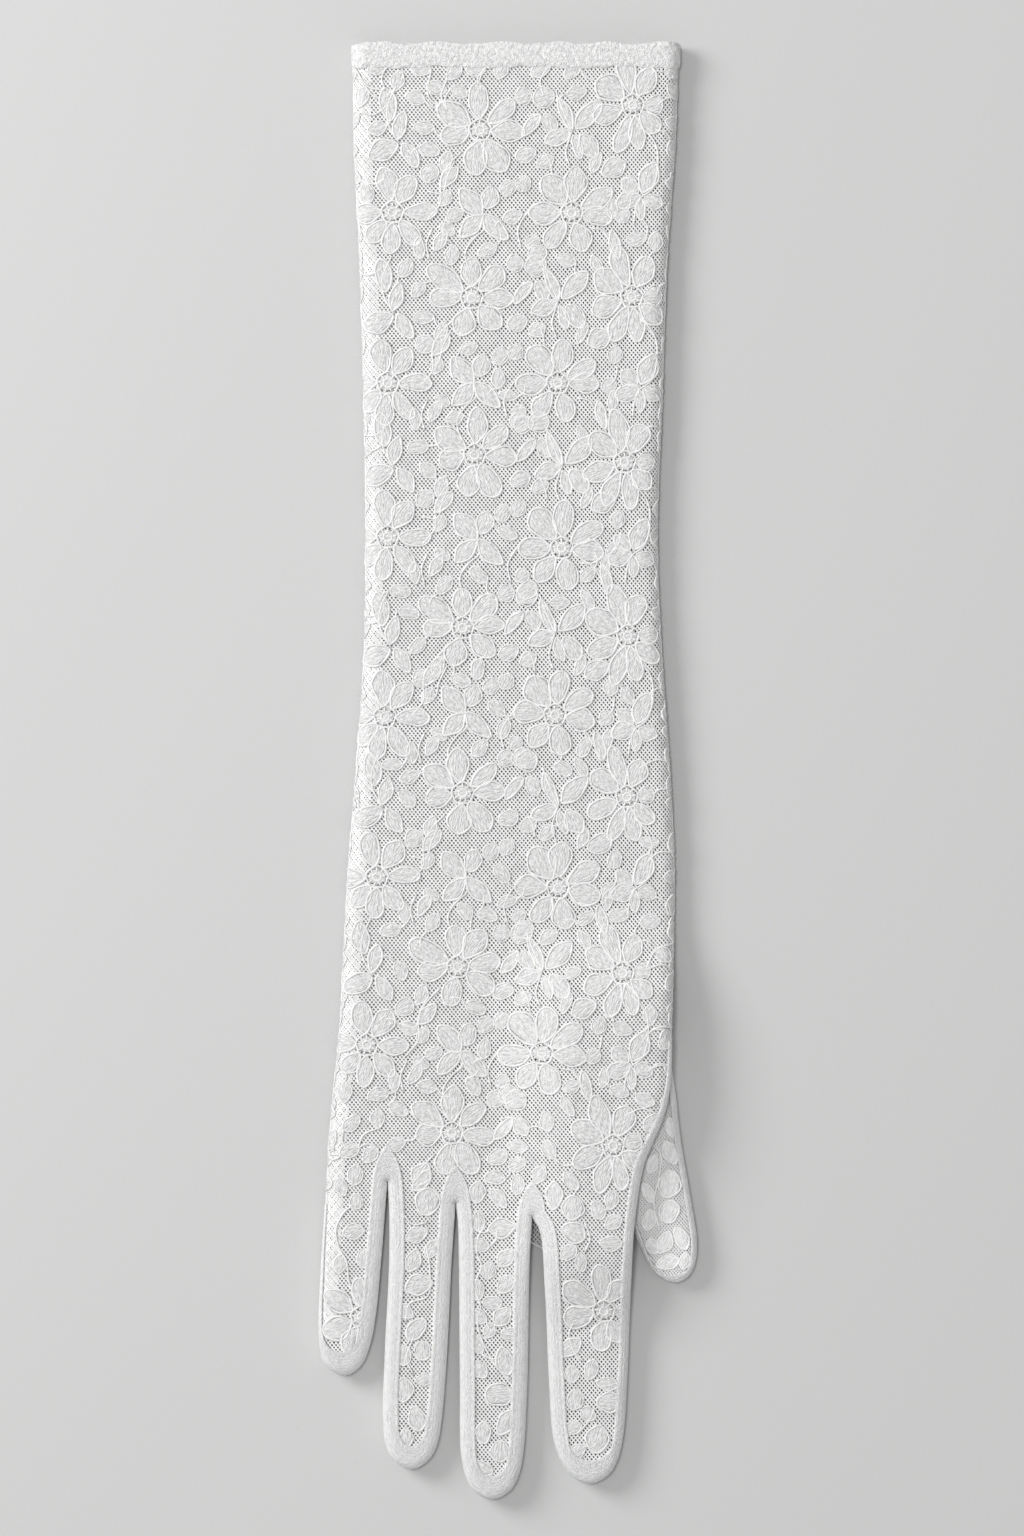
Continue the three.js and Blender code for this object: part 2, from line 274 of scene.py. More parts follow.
def threadRows(polygons, degrees, spec):
    # threads across the polygons: rows v = n spacing of the turned plane, cut where they cross the edges,
    # with v wavering by a product of two sines
    angle = math.radians(degrees)
    turn = np.array([[math.cos(angle), math.sin(angle)], [-math.sin(angle), math.cos(angle)]])
    edges = np.concatenate([np.stack([p, np.roll(p, -1, axis=0)], axis=1) for p in polygons]) @ turn.T
    start, end = edges[:, 0], edges[:, 1]
    low, high = edges[..., 1].min(), edges[..., 1].max()
    numbers = np.arange(math.ceil(low / spec["spacing"]), math.floor(high / spec["spacing"]) + 1)
    rows = numbers[:, None] * spec["spacing"] + 1e-4
    crosses = (start[:, 1] <= rows) != (end[:, 1] <= rows)
    rise = np.where(np.abs(end[:, 1] - start[:, 1]) < 1e-9, 1e-9, end[:, 1] - start[:, 1])
    at = start[:, 0] + (rows - start[:, 1]) / rise * (end[:, 0] - start[:, 0])
    at = np.sort(np.where(crosses, at, np.inf), axis=1)
    at = at[:, :2 * (crosses.sum(axis=1).max() // 2)]
    begin, finish = at[:, 0::2], at[:, 1::2]
    real = np.isfinite(finish) & (finish > begin + spec["shortest"])
    row = np.broadcast_to(rows, begin.shape)[real]
    begin, finish = begin[real], finish[real]
    pieces = np.maximum(np.ceil((finish - begin) / spec["step"]), 1).astype(int) + 1
    thread = np.repeat(np.arange(len(begin)), pieces)
    place = np.arange(pieces.sum()) - np.repeat(np.cumsum(pieces) - pieces, pieces)
    share = place / (pieces[thread] - 1)
    share = share - spec["endCrowding"] * np.sin(2 * math.pi * share) / (2 * math.pi)
    u = begin[thread] + (finish - begin)[thread] * share
    v = row[thread]
    v = v + spec["waver"] * np.sin(u * 1.31 + v * 7.7) * np.sin(u * 0.23 + v * 3.1)
    following = np.arange(len(u)) + 1
    following[place == pieces[thread] - 1] = -1
    return np.stack([u, v], axis=1) @ turn, following


def netting(name, polygons, side, pouch, spec, finish, stands=()):
    # two families of slanting threads, laid on the pouch, one a little over the other
    parts = []
    for degrees, over in zip(spec["angles"], (-spec["apart"], spec["apart"])):
        flat, following = threadRows(polygons, degrees, spec)
        points, normals = layCloth(flat, side, pouch)
        points = points + normals * (spec["radius"] * over)
        parts.append(tubes(points, normals, following, spec["radius"], 3, firstCorner=-90.0))
    corners, quads, triangles = joined(parts)
    addMesh(name, corners, quads, triangles, cotton[finish], flat=len(quads) + len(triangles),
            stands=stands)


# Bands: outer edge and seam line of the fingers' sides
bandSpec = {
    "width": 4.1,         # of a strip between two fingers
    "tipWidth": 6.4,      # at a fingertip, where it closes over the end
    "tipReach": 17.0,     # along the edge from the tip, where its rounded inner line starts
    "littleSide": 0.5,    # width of the plain outer side of the little finger,
    "littleGrow": 30.0,   # which it reaches this far from its start
    "indexSide": 2.6,     # width of the narrow band beside the thumb,
    "indexFade": (84.0, 122.0),   # which it loses over this stretch from the tip,
    "indexTop": -70.0,    # and the y below which it starts
    "crotchRoom": 3.0,    # rows of a finger's edge start this far below a crotch
    "archRows": 12,       # rows of a strip that turn about a crotch, up to the peak of its arch
    "archBulge": 0.9,
    "tuck": 0.14,         # share of its width that the net goes under a band
    "step": 1.1,          # from one row of points to the next
    "around": 56,         # points round the outer skin
    "over": 0.12,         # how far the section stands over the solids' skin
    "squareness": 0.72,   # power of the section's quarters, 1 for an ellipse
    "thickness": 0.7,
    "sunk": 0.1,          # how far the skin between ribs and seams lies in
    "ribs": 0.82,         # from one lengthwise rib to the next
    "ribHeight": 0.06,
    "ribsFrom": 0.6,      # distance from the seam where the ribs start
    "stitch": 1.7,        # length of a stitch
    "ridge": 0.26,        # height of the rolled seam,
    "ridgeAt": 0.38,      # its distance from the edge
    "ridgeHalf": 0.3,     # and half its width
    "ridgeFade": (5.0, 15.0),     # distances from a tip between which the rolled seam grows
}


def along(curve):
    # length from the curve's start to each point
    return np.concatenate([[0.0], np.cumsum(np.linalg.norm(np.diff(curve, axis=0), axis=1))])


def evenly(curves, step):
    # the same curves, point for point, at equal steps of their mean line
    mean = sum(curves) / len(curves)
    length = along(mean)
    at = np.linspace(0.0, length[-1], max(2, math.ceil(length[-1] / step)) + 1)
    return [np.stack([np.interp(at, length, column) for column in curve.T], axis=1) for curve in curves]


def inwardOf(curve):
    # unit normal to the left of the way of travel, which is where the cloth is
    way = np.gradient(curve, axis=0)
    way /= np.linalg.norm(way, axis=1, keepdims=True)
    return np.stack([-way[:, 1], way[:, 0]], axis=1)


def archedStart(outer, inner, crotch):
    # a strip that starts at a crotch gets rows before it whose inner ends rise in a pointed arch: a line
    # to the peak plus 4 share (1 - share) of bulge
    share = np.linspace(0.0, 1.0, bandSpec["archRows"])[:-1, None]
    peak = np.array([crotch[0], crotch[2]])
    across = (peak - inner[0])[::-1] * (1.0, -1.0)
    across /= np.linalg.norm(across)
    across *= np.sign(across @ (inner[0] - outer[0]))
    arch = peak + (inner[0] - peak) * share + bandSpec["archBulge"] * 4 * share * (1 - share) * across
    foot = np.repeat(outer[:1], len(arch), axis=0)
    return [np.vstack([foot, outer]), np.vstack([arch, inner])]


def roundedEnd(inner, fromTip, reach, tip, depth):
    # replaces the seam line within reach of a tip by half an ellipse, sin and cos^0.9 of the distance,
    # that stays depth away from the tip
    near = np.nonzero(fromTip < reach)[0]
    first, last = inner[near[0]], inner[near[-1]]
    middle = (first + last) / 2
    up = (middle - tip) / np.linalg.norm(middle - tip)
    share = np.where(near < np.argmin(fromTip), -fromTip[near], fromTip[near]) / reach * math.pi / 2
    end = inner.copy()
    end[near] = (middle + (last - first) / 2 * np.sin(share)[:, None]
                 + (tip + up * depth - middle) * np.cos(share)[:, None] ** 0.9)
    return end


def fingerSides(i):
    # one finger's outer edge and seam line, as its left half down to the tip and its right half up
    finger = shape["fingers"][i]
    room = bandSpec["crotchRoom"]
    leftCrotch = shape["crotches"][i - 1] if i > 0 else None
    rightCrotch = shape["crotches"][i] if i < len(shape["fingers"]) - 1 else None
    left = edgeOf(finger["rows"], -1)
    right = edgeOf(finger["rows"], 1)[::-1]
    if leftCrotch:
        left = [leftCrotch[:2]] + [point for point in left if point[1] < leftCrotch[1] - room]
    if rightCrotch:
        right = [point for point in right if point[1] < rightCrotch[1] - room] + [rightCrotch[:2]]
    else:
        right += [point for point in edgeOf(shape["body"], 1)[::-1] if point[1] < bandSpec["indexTop"]]
    outer = smoothCurve([*left, finger["tip"], *right], shape["curveParts"])
    tip = len(left) * shape["curveParts"]
    length = along(outer)
    fromTip = np.abs(length - length[tip])
    side = np.full(len(outer), bandSpec["width"])
    if not leftCrotch:
        grown = easeStep(length[:tip], 0.0, bandSpec["littleGrow"])
        side[:tip] = bandSpec["littleSide"] * (0.1 + 0.9 * grown)
    if not rightCrotch:
        side[tip:] = bandSpec["indexSide"] * (1 - 0.7 * easeStep(fromTip[tip:], *bandSpec["indexFade"]))
    inner = outer + inwardOf(outer) * side[:, None]
    inner = roundedEnd(inner, fromTip, bandSpec["tipReach"], outer[tip], bandSpec["tipWidth"])
    halves = [[outer[:tip + 1], inner[:tip + 1]], [outer[tip:], inner[tip:]]]
    if leftCrotch:
        halves[0] = archedStart(*halves[0], leftCrotch)
    if rightCrotch:
        turned = archedStart(halves[1][0][::-1], halves[1][1][::-1], rightCrotch)
        halves[1] = [turned[0][::-1], turned[1][::-1]]
    return [evenly(half, bandSpec["step"]) for half in halves]


sides = [fingerSides(i) for i in range(len(shape["fingers"]))]
bandCaps = 2 * (bandSpec["around"] - 1)       # faces that close the two ends of a band


def bandShell(outer, inner, height, lifted):
    # C-shaped strip: from the seam above, round the side, to the seam below, with a wall. The outer skin
    # stands over the section by cosine ribs, a sine of stitches and, at both edges, a bell curve: the seam
    spec = bandSpec
    roll = rollTable(height, -spec["over"], spec["squareness"])
    total = roll["arc"][-1]
    width = np.linalg.norm(inner - outer, axis=1)
    inward = (inner - outer) / width[:, None]
    quarter = slice(0, shape["rollSteps"])
    first = np.where(width > shape["roll"], shape["roll"] - width,
                     np.interp(shape["roll"] - width, roll["out"][quarter], roll["arc"][quarter]))
    share = np.linspace(0.0, 1.0, spec["around"])[None, :]
    s = first[:, None] + (total - 2 * first[:, None]) * share
    onRoll = np.clip(s, 0.0, total)
    flat = np.maximum(-s, 0) + np.maximum(s - total, 0)
    out = np.interp(onRoll, roll["arc"], roll["out"]) - flat
    drop = np.interp(onRoll, roll["arc"], roll["drop"])
    sideways = np.interp(onRoll, roll["arc"], roll["sideways"])
    upward = np.interp(onRoll, roll["arc"], roll["upward"])
    fromSeam = np.minimum(s - first[:, None], total - first[:, None] - s)
    length = along((outer + inner) / 2)[:, None]
    stitch = np.sin(2 * math.pi * length / spec["stitch"] + 2.4 * np.sin(fromSeam * 3.1))
    ribs = spec["ribHeight"] * (np.cos(2 * math.pi * fromSeam / spec["ribs"]) + 0.35 * stitch)
    tips = np.array([finger["tip"] for finger in shape["fingers"]] + [shape["thumbTip"]])
    fromTip = np.linalg.norm(outer[:, None, :] - tips[None, :, :], axis=2).min(axis=1)
    ridge = spec["ridge"] * np.clip(width / spec["width"], 0.2, 1.0) ** 2
    ridge = ridge * (0.2 + 0.8 * easeStep(fromTip, *spec["ridgeFade"]))
    bell = np.exp(-((fromSeam - spec["ridgeAt"]) / spec["ridgeHalf"]) ** 2)
    seam = ridge[:, None] * bell * (1 + 0.15 * stitch)
    skin = ribs * (fromSeam > spec["ribsFrom"]) + seam - spec["sunk"]
    base = outer + inward * shape["roll"]
    rings = []
    for standing, order in ((skin, 1), (np.full_like(skin, -spec["thickness"]), -1)):
        level = height + spec["over"] - drop + upward * standing
        reach = out + sideways * standing
        xy = base[:, None, :] - inward[:, None, :] * reach[..., None]
        rings.append(np.concatenate([xy, level[..., None]], axis=2)[:, ::order])
    grid = np.concatenate(rings, axis=1)
    if lifted:
        grid[..., 2] += liftAt(grid[..., 0], grid[..., 1])
    rows, cols = grid.shape[:2]
    i = np.arange(rows - 1)[:, None]
    j = np.arange(cols)[None, :]
    jNext = (j + 1) % cols
    quads = np.stack([i * cols + j, i * cols + jNext, (i + 1) * cols + jNext, (i + 1) * cols + j], axis=-1)
    k = np.arange(spec["around"] - 1)
    mirror = cols - 1 - k
    near = np.stack([k, mirror, mirror - 1, k + 1], axis=-1)
    far = np.stack([k, k + 1, mirror - 1, mirror], axis=-1) + (rows - 1) * cols
    quads = np.concatenate([quads.reshape(-1, 4), near, far])
    uv = np.stack([np.broadcast_to(length, (rows, cols)),
                   np.concatenate([s, s[:, ::-1]], axis=1)], axis=-1).reshape(-1, 2)
    return grid.reshape(-1, 3), quads, np.zeros((0, 3), int), uv


# The lace repeat, charted: sizes from a flower's middle. Petals are (degrees, reach, width).
# Leaves are (x, y, degrees, length, width, shape), stems are points that a cord follows.
petalCharts = {
    "a": [(90, 12.6, 5.4), (39, 11.8, 4.6), (-4, 11.3, 5.1), (-60, 12.6, 5.9), (-101, 11.5, 5.9),
          (188, 10.2, 5.9), (146, 12.9, 5.9)],
    "aTurned": [(92, 10.7, 5.1), (47, 11.8, 5.4), (6, 11.0, 4.8), (-40, 11.0, 5.4), (-103, 10.7, 5.4),
                (184, 10.7, 5.1), (150, 13.9, 5.9)],
    "b": [(84, 12.3, 5.6), (127, 12.3, 7.0), (180, 11.5, 5.6), (-125, 11.0, 4.8), (-76, 11.0, 5.6),
          (-7, 11.3, 5.4), (31, 12.1, 5.1)],
    "c": [(106, 14.2, 4.8), (67, 11.3, 5.4), (147, 11.8, 6.4), (-156, 11.5, 5.4), (-109, 12.9, 4.3),
          (-80, 12.1, 4.0), (-43, 9.9, 4.6), (5, 7.8, 4.8)],
    "d": [(100, 12.3, 5.6), (55, 11.5, 5.4), (0, 12.1, 4.6), (-53, 11.8, 4.6), (-96, 11.8, 4.8),
          (-132, 10.4, 4.8), (178, 11.0, 5.2)],
}
columns = [
    {"petals": ("a", "aTurned"),
     "places": [(-7.4, 171.9), (-9.6, 126.9), (-8.8, 84.8), (-12.0, 38.5), (-12.0, -5.8), (-13.3, -52.4),
                (-14.9, -96.9)],
     "leaves": [(0.5, -22.8, 130, 8.4, 4.9, "leaf"), (0.5, -22.8, 226, 7.6, 3.8, "leaf"),
                (0.9, -22.6, -45, 8.7, 3.8, "leaf"), (1.6, -21.0, 72, 5.6, 4.0, "bud"),
                (6.0, -17.4, 50, 4.4, 3.7, "bud"), (10.6, -16.4, 60, 4.2, 3.5, "bud"),
                (9.6, -7.6, 22, 5.2, 3.7, "bud"), (15.3, -9.6, 28, 4.6, 3.5, "leaf"),
                (9.5, 8.4, 20, 4.2, 4.0, "bud"), (14.3, 8.0, 15, 5.4, 4.9, "bud"),
                (11.4, -1.6, 50, 7.0, 2.6, "leaf"), (20.0, -0.6, 118, 5.2, 3.6, "leaf"),
                (-10.4, -15.3, 50, 6.4, 3.2, "leaf"), (-10.6, -20.4, 62, 4.6, 2.9, "leaf")],
     "stems": [[(-4.8, -5.7), (-8.6, -9.6), (-10.6, -13.6), (-10.6, -19.5), (-14.1, -23.9)],
               [(17.4, -6.1), (18.6, -8.4), (19.4, -11.9)],
               [(0.5, -22.8), (1.1, -26.5), (-1.6, -29.0), (-4.0, -33.0), (-2.6, -38.6)],
               [(13.2, 3.8), (16.2, 4.4), (15.0, 1.0)]]},
    {"petals": ("b", "b"),
     "places": [(17.2, 149.7), (13.5, 104.1), (14.5, 59.9), (12.7, 15.1), (13.5, -31.2), (9.2, -75.4)],
     "leaves": [(0.0, 22.0, 113, 9.0, 2.6, "leaf"), (1.1, 22.7, 46, 9.2, 4.3, "leaf"),
                (-0.3, 21.6, 200, 6.8, 3.8, "leaf"), (0.3, 20.8, -72, 6.2, 2.3, "leaf"),
                (2.4, 20.9, -55, 6.9, 4.3, "leaf"), (-11.4, -12.6, 32, 5.0, 4.2, "bud"),
                (-12.0, -8.8, 40, 3.6, 3.2, "bud"), (10.8, -4.6, -76, 7.4, 2.5, "leaf"),
                (8.0, 10.4, 26, 6.6, 4.7, "leaf"), (5.4, 10.6, 66, 5.6, 2.3, "leaf"),
                (14.6, 5.2, 76, 4.6, 3.3, "bud"), (12.3, -2.4, 52, 4.0, 3.4, "bud"),
                (5.4, -11.4, -60, 5.6, 2.5, "leaf")],
     "stems": [[(-9.4, 2.4), (-11.8, 0.2), (-14.4, -4.2), (-14.3, -6.6), (-13.6, -9.3)],
               [(5.2, -4.0), (8.3, -4.7), (10.1, -7.6), (12.3, -11.6)],
               [(15.9, 4.4), (15.4, 1.3), (13.6, -0.9)],
               [(0.0, 22.0), (-2.6, 28.0), (-4.2, 32.4)],
               [(-0.4, 12.2), (-1.6, 16.0), (0.0, 22.0)]]},
    {"petals": ("c", "c"),
     "places": [(33.6, 178.6), (33.3, 127.2), (31.4, 82.9), (32.2, 36.3), (32.0, -6.8), (30.9, -54.0),
                (28.2, -100.1)],
     "leaves": [(2.0, -24.4, 200, 6.4, 4.1, "leaf"), (1.4, -23.6, 138, 5.2, 3.6, "leaf"),
                (2.4, -23.4, 66, 8.2, 4.4, "leaf"), (2.0, -24.9, -86, 5.6, 2.3, "leaf"),
                (3.0, -24.9, -22, 4.8, 3.7, "leaf"), (-5.6, -30.6, 84, 5.2, 2.4, "leaf")],
     "stems": [[(2.2, -5.8), (5.6, -9.6), (6.7, -13.8), (5.3, -22.2), (1.8, -24.9)],
               [(2.0, -24.4), (0.6, -28.4), (0.2, -32.0)]]},
    {"petals": ("d", "d"),
     "places": [(-30.8, 149.9), (-32.1, 104.1), (-32.1, 62.8), (-32.9, 14.6), (-35.0, -28.3),
                (-37.7, -73.3)],
     "leaves": [(2.6, 18.4, -58, 7.0, 3.4, "leaf"), (1.4, 18.2, 204, 8.0, 4.8, "leaf"),
                (1.2, 19.4, 76, 7.2, 3.2, "leaf"), (-0.6, 24.4, 100, 8.4, 4.0, "leaf"),
                (8.0, 8.6, 40, 4.8, 4.2, "bud"), (13.4, 10.8, 70, 5.4, 3.0, "leaf"),
                (11.2, -10.4, 60, 6.0, 2.6, "leaf"), (7.6, -12.6, 96, 5.6, 2.6, "leaf"),
                (12.6, -3.6, -30, 4.2, 2.6, "bud")],
     "stems": [[(1.6, 18.6), (-1.2, 23.6), (-1.4, 28.4), (1.0, 34.0)],
               [(9.4, 5.6), (13.2, 5.0), (14.6, 9.6), (16.6, 13.6)],
               [(10.6, -4.4), (9.0, -8.4), (9.8, -12.6)]]},
]
fingerCharts = {
    "little": {
        "flowers": [(-39.1, -146.2, [(147, 11.8, 5.6), (203, 11.2, 6.2), (246, 10.4, 5.0), (96, 10.5, 4.0),
                                     (290, 7.4, 4.2)])],
        "leaves": [(-42.4, -101.8, 20, 5.6, 4.0, "leaf"), (-41.0, -108.2, 80, 5.6, 4.4, "leaf"),
                   (-40.7, -115.3, 80, 4.2, 3.6, "bud"), (-41.3, -123.3, 10, 6.0, 4.0, "leaf"),
                   (-44.9, -132.0, 80, 5.4, 3.4, "leaf"), (-38.6, -130.6, 100, 5.2, 3.4, "leaf"),
                   (-44.6, -111.4, 110, 5.0, 3.2, "leaf")],
        "stems": [[(-41.6, -116.4), (-43.8, -118.0), (-46.0, -122.7), (-45.2, -127.7), (-43.2, -131.4),
                   (-42.6, -136.4), (-40.2, -143.6)]]},
    "ring": {
        "flowers": [],
        "leaves": [(-23.2, -108.0, 60, 6.8, 5.0, "leaf"), (-21.6, -115.3, 80, 7.4, 6.4, "bud"),
                   (-24.4, -124.0, 20, 6.2, 4.2, "leaf"), (-25.4, -131.0, 70, 6.4, 4.0, "leaf"),
                   (-23.8, -137.8, 15, 7.6, 5.4, "leaf"), (-24.4, -149.6, 50, 7.0, 4.6, "leaf"),
                   (-22.7, -155.2, 100, 5.2, 4.2, "bud"), (-28.0, -165.7, 88, 6.8, 5.0, "leaf"),
                   (-22.5, -162.9, 10, 4.8, 3.0, "leaf"), (-24.4, -173.5, 105, 6.8, 4.8, "leaf")],
        "stems": [[(-27.6, -119.0), (-25.4, -121.4), (-21.4, -120.8)],
                  [(-22.0, -126.6), (-20.9, -133.0), (-21.4, -140.6), (-26.4, -142.6), (-27.4, -147.6)],
                  [(-25.4, -152.0), (-27.2, -157.4), (-25.2, -161.6)]]},
    "middle": {
        "flowers": [],
        "leaves": [(-8.0, -112.7, 85, 6.0, 4.2, "leaf"), (-2.5, -114.4, -50, 6.4, 3.4, "leaf"),
                   (-1.6, -122.1, 8, 7.4, 5.2, "leaf"), (-5.1, -133.8, 80, 4.6, 4.0, "bud"),
                   (-0.4, -130.3, 45, 6.2, 4.0, "leaf"), (-0.8, -137.4, 60, 5.4, 4.2, "leaf"),
                   (-4.1, -142.3, 0, 5.2, 3.6, "bud"), (-1.3, -146.2, 50, 6.0, 4.4, "leaf"),
                   (-5.0, -149.8, 70, 4.4, 3.2, "leaf"), (-0.6, -158.0, 105, 7.6, 4.8, "leaf"),
                   (-2.4, -167.2, 0, 7.2, 6.2, "bud"), (-0.6, -174.5, 62, 7.4, 4.4, "leaf"),
                   (-6.4, -177.2, 95, 6.0, 4.0, "leaf"), (-1.9, -182.2, 90, 5.6, 5.0, "bud")],
        "stems": [[(-5.7, -121.8), (-7.6, -124.0), (-8.3, -129.0), (-7.0, -132.4), (-9.0, -138.1),
                   (-7.2, -143.6), (-8.2, -147.0), (-6.9, -152.4), (-2.4, -160.3), (1.0, -163.3)]]},
    "index": {
        "flowers": [(25.8, -144.5, [(96, 12.7, 5.2), (145, 13.0, 6.4), (192, 10.9, 6.2), (-94, 10.8, 5.6),
                                    (-60, 9.8, 4.4), (0, 6.6, 3.6), (60, 9.6, 4.4)])],
        "leaves": [(12.4, -113.4, 88, 7.6, 4.4, "leaf"), (17.3, -116.6, 80, 6.6, 5.8, "bud"),
                   (17.6, -123.4, -30, 6.6, 5.4, "bud"), (24.1, -117.3, 115, 5.4, 3.8, "leaf"),
                   (28.2, -120.6, 30, 5.2, 3.8, "leaf"), (27.6, -126.0, 0, 5.8, 3.8, "bud"),
                   (16.3, -128.6, 40, 5.2, 4.0, "leaf"), (19.7, -131.2, 100, 5.2, 3.0, "leaf"),
                   (16.9, -154.4, 40, 7.0, 4.2, "leaf"), (17.4, -161.5, 90, 4.8, 3.8, "leaf"),
                   (22.5, -160.3, 75, 5.6, 3.8, "leaf"), (26.7, -164.2, -10, 6.0, 3.4, "leaf"),
                   (27.2, -168.9, 5, 6.6, 5.2, "bud"), (17.9, -168.4, 80, 5.6, 4.6, "leaf"),
                   (24.2, -179.0, 80, 7.4, 6.0, "bud")],
        "stems": [[(23.2, -170.8), (21.8, -174.0), (18.6, -177.6)],
                  [(20.6, -120.4), (22.0, -125.0), (20.6, -128.4)],
                  [(17.6, -147.6), (16.4, -151.0), (18.4, -156.6), (20.4, -158.0)]]},
}
thumbChart = {
    "flowers": [],
    "leaves": [(43.6, -95.4, 100, 5.4, 3.0, "leaf"), (43.4, -102.2, 115, 6.8, 4.0, "leaf"),
               (43.2, -110.6, 80, 7.4, 5.8, "bud"), (43.4, -118.0, 70, 6.2, 5.4, "bud"),
               (37.5, -113.0, -60, 6.0, 3.0, "leaf"), (37.8, -120.2, 80, 5.8, 3.8, "leaf"),
               (42.0, -126.2, 65, 6.6, 3.8, "leaf"), (46.4, -125.2, 115, 6.6, 3.6, "leaf"),
               (38.9, -127.2, 110, 4.6, 3.2, "leaf"), (43.0, -131.6, 15, 6.4, 3.8, "leaf"),
               (47.4, -131.2, 75, 4.8, 2.9, "leaf"), (38.8, -105.2, 70, 5.2, 3.2, "leaf")],
    "stems": [[(38.2, -99.5), (41.0, -102.7), (40.6, -108.2), (39.2, -116.0), (40.6, -122.6)]]}

motifSpec = {
    "middleRing": 2.9, "innerRing": 1.15,
    "above": 0.28,        # height of petals and cords over the net's own level
    "cord": 0.34,         # radius of a long petal's outline cord
    "thinCord": 0.6,      # share of it that a short leaf's cord has
    "stemCord": 0.8,      # and a stem
    "frizz": 0.05,        # how far cord points lie off their line
    "heart": 2.3,         # radius of a flower's knitted middle
    "dome": 0.14,         # how far a petal stands up
    "underside": 0.06,    # and how far it hangs down
    "patchEnds": (0.08, 0.94),    # where a petal's first and last rings are, in half turns of a cosine
    "alongPatch": 8,      # rings of a petal
    "aroundPatch": 8,     # points of a ring
    "outlinePoints": 20,
    "petalFuller": 1.04,  # petals and leaves are this much wider than the charts have them
    "leafFuller": 1.14,
    "leafLonger": 1.08,
    "shapes": {"petal": (1.24, 0.58), "leaf": (1.0, 0.7), "bud": (1.0, 0.5)},     # widest, roundness
    "innerPoints": 10,
    "innerCord": 1.1,     # share of the cord's radius that a flower's inner ring has
    "ringWobble": 0.06,
    "spokes": 9,
    "spokeReach": (1.3, 2.6),
    "thinLengths": (4.0, 8.5),    # patch lengths between which the cord grows to its radius
    "unevenCord": 0.22,   # share by which a cord's radius goes up and down
    "uneven": 0.08,       # the same for a petal's width
    "bend": 0.045,        # sideways bend of a petal, as a share of its length
}
coarseMotifSpec = dict(motifSpec, alongPatch=6, aroundPatch=6, outlinePoints=14)

# How much a flower and its petals differ from the chart
flowerVariety = {"seed": 5, "turn": 5, "size": (0.96, 1.05), "petalTurn": 3, "reach": (0.96, 1.04),
                 "width": (0.94, 1.06)}

# Leaves and buds added where the net is open. lengths and widths are shares of the room there
fillerSpec = {
    "seed": 11,
    "grid": 1.5,
    "shift": 0.6,
    "leftX": -50.0,
    "rightX": 46.0,
    "lowY": -190.0,
    "flowerRoom": 3.4,    # radius kept clear round a flower's middle
    "leastRoom": 2.5,
    "lengths": (1.7, 2.3),
    "widths": (1.1, 1.6),
    "longest": 5.6,
    "widest": 3.6,
    "leafShare": 0.6,     # the others are buds
}


def unit(degrees):
    # direction of an angle: cos and sin
    angle = np.radians(degrees)
    return np.stack([np.cos(angle), np.sin(angle)], axis=-1)


def chartRows(chart, x0, y0, flowers, hold=0.0):
    # one chart's patches as rows (x, y, degrees, length, width, widest, roundness), its stems and rings.
    # hold is where the charted point of a leaf lies: 0 at its foot, 0.5 at its middle
    rows = []
    for fx, fy, petals in flowers:
        p = np.array(petals, float)
        foot = np.array([fx, fy]) + unit(p[:, 0]) * motifSpec["middleRing"]
        kind = np.broadcast_to(motifSpec["shapes"]["petal"], (len(p), 2))
        rows.append(np.column_stack([foot, p[:, 0], p[:, 1] - motifSpec["middleRing"],
                                     p[:, 2] * motifSpec["petalFuller"], kind]))
    for x, y, degrees, length, width, kind in chart["leaves"]:
        if not hold:
            length, width = length * motifSpec["leafLonger"], width * motifSpec["leafFuller"]
        foot = np.array([x0 + x, y0 + y]) - unit(degrees) * length * hold
        rows.append(np.array([[*foot, degrees, length, width, *motifSpec["shapes"][kind]]]))
    stems = [np.array(stem) + (x0, y0) for stem in chart["stems"]]
    return rows, stems, [(fx, fy) for fx, fy, petals in flowers]


def bodyMotifs():
    # the whole repeat over the sleeve and the hand, each flower turned a little
    rows, stems, middles = [], [], []
    spec = flowerVariety
    rng = np.random.default_rng(spec["seed"])
    for column in columns:
        for n, (x, y) in enumerate(column["places"]):
            turn = rng.uniform(-spec["turn"], spec["turn"])
            size = rng.uniform(*spec["size"])
            petals = [(degrees + turn + rng.uniform(-spec["petalTurn"], spec["petalTurn"]),
                       reach * size * rng.uniform(*spec["reach"]), width * size * rng.uniform(*spec["width"]))
                      for degrees, reach, width in petalCharts[column["petals"][n % 2]]]
            moreRows, moreStems, moreMiddles = chartRows(column, x, y, [(x, y, petals)])
            rows += moreRows
            stems += moreStems
            middles += moreMiddles
    return np.concatenate(rows), stems, middles


def roomLeft(spots, points, radii):
    # distance from each spot to the nearest of the round things
    return (np.linalg.norm(spots[:, None, :] - points[None, :, :], axis=2) - radii[None, :]).min(axis=1)


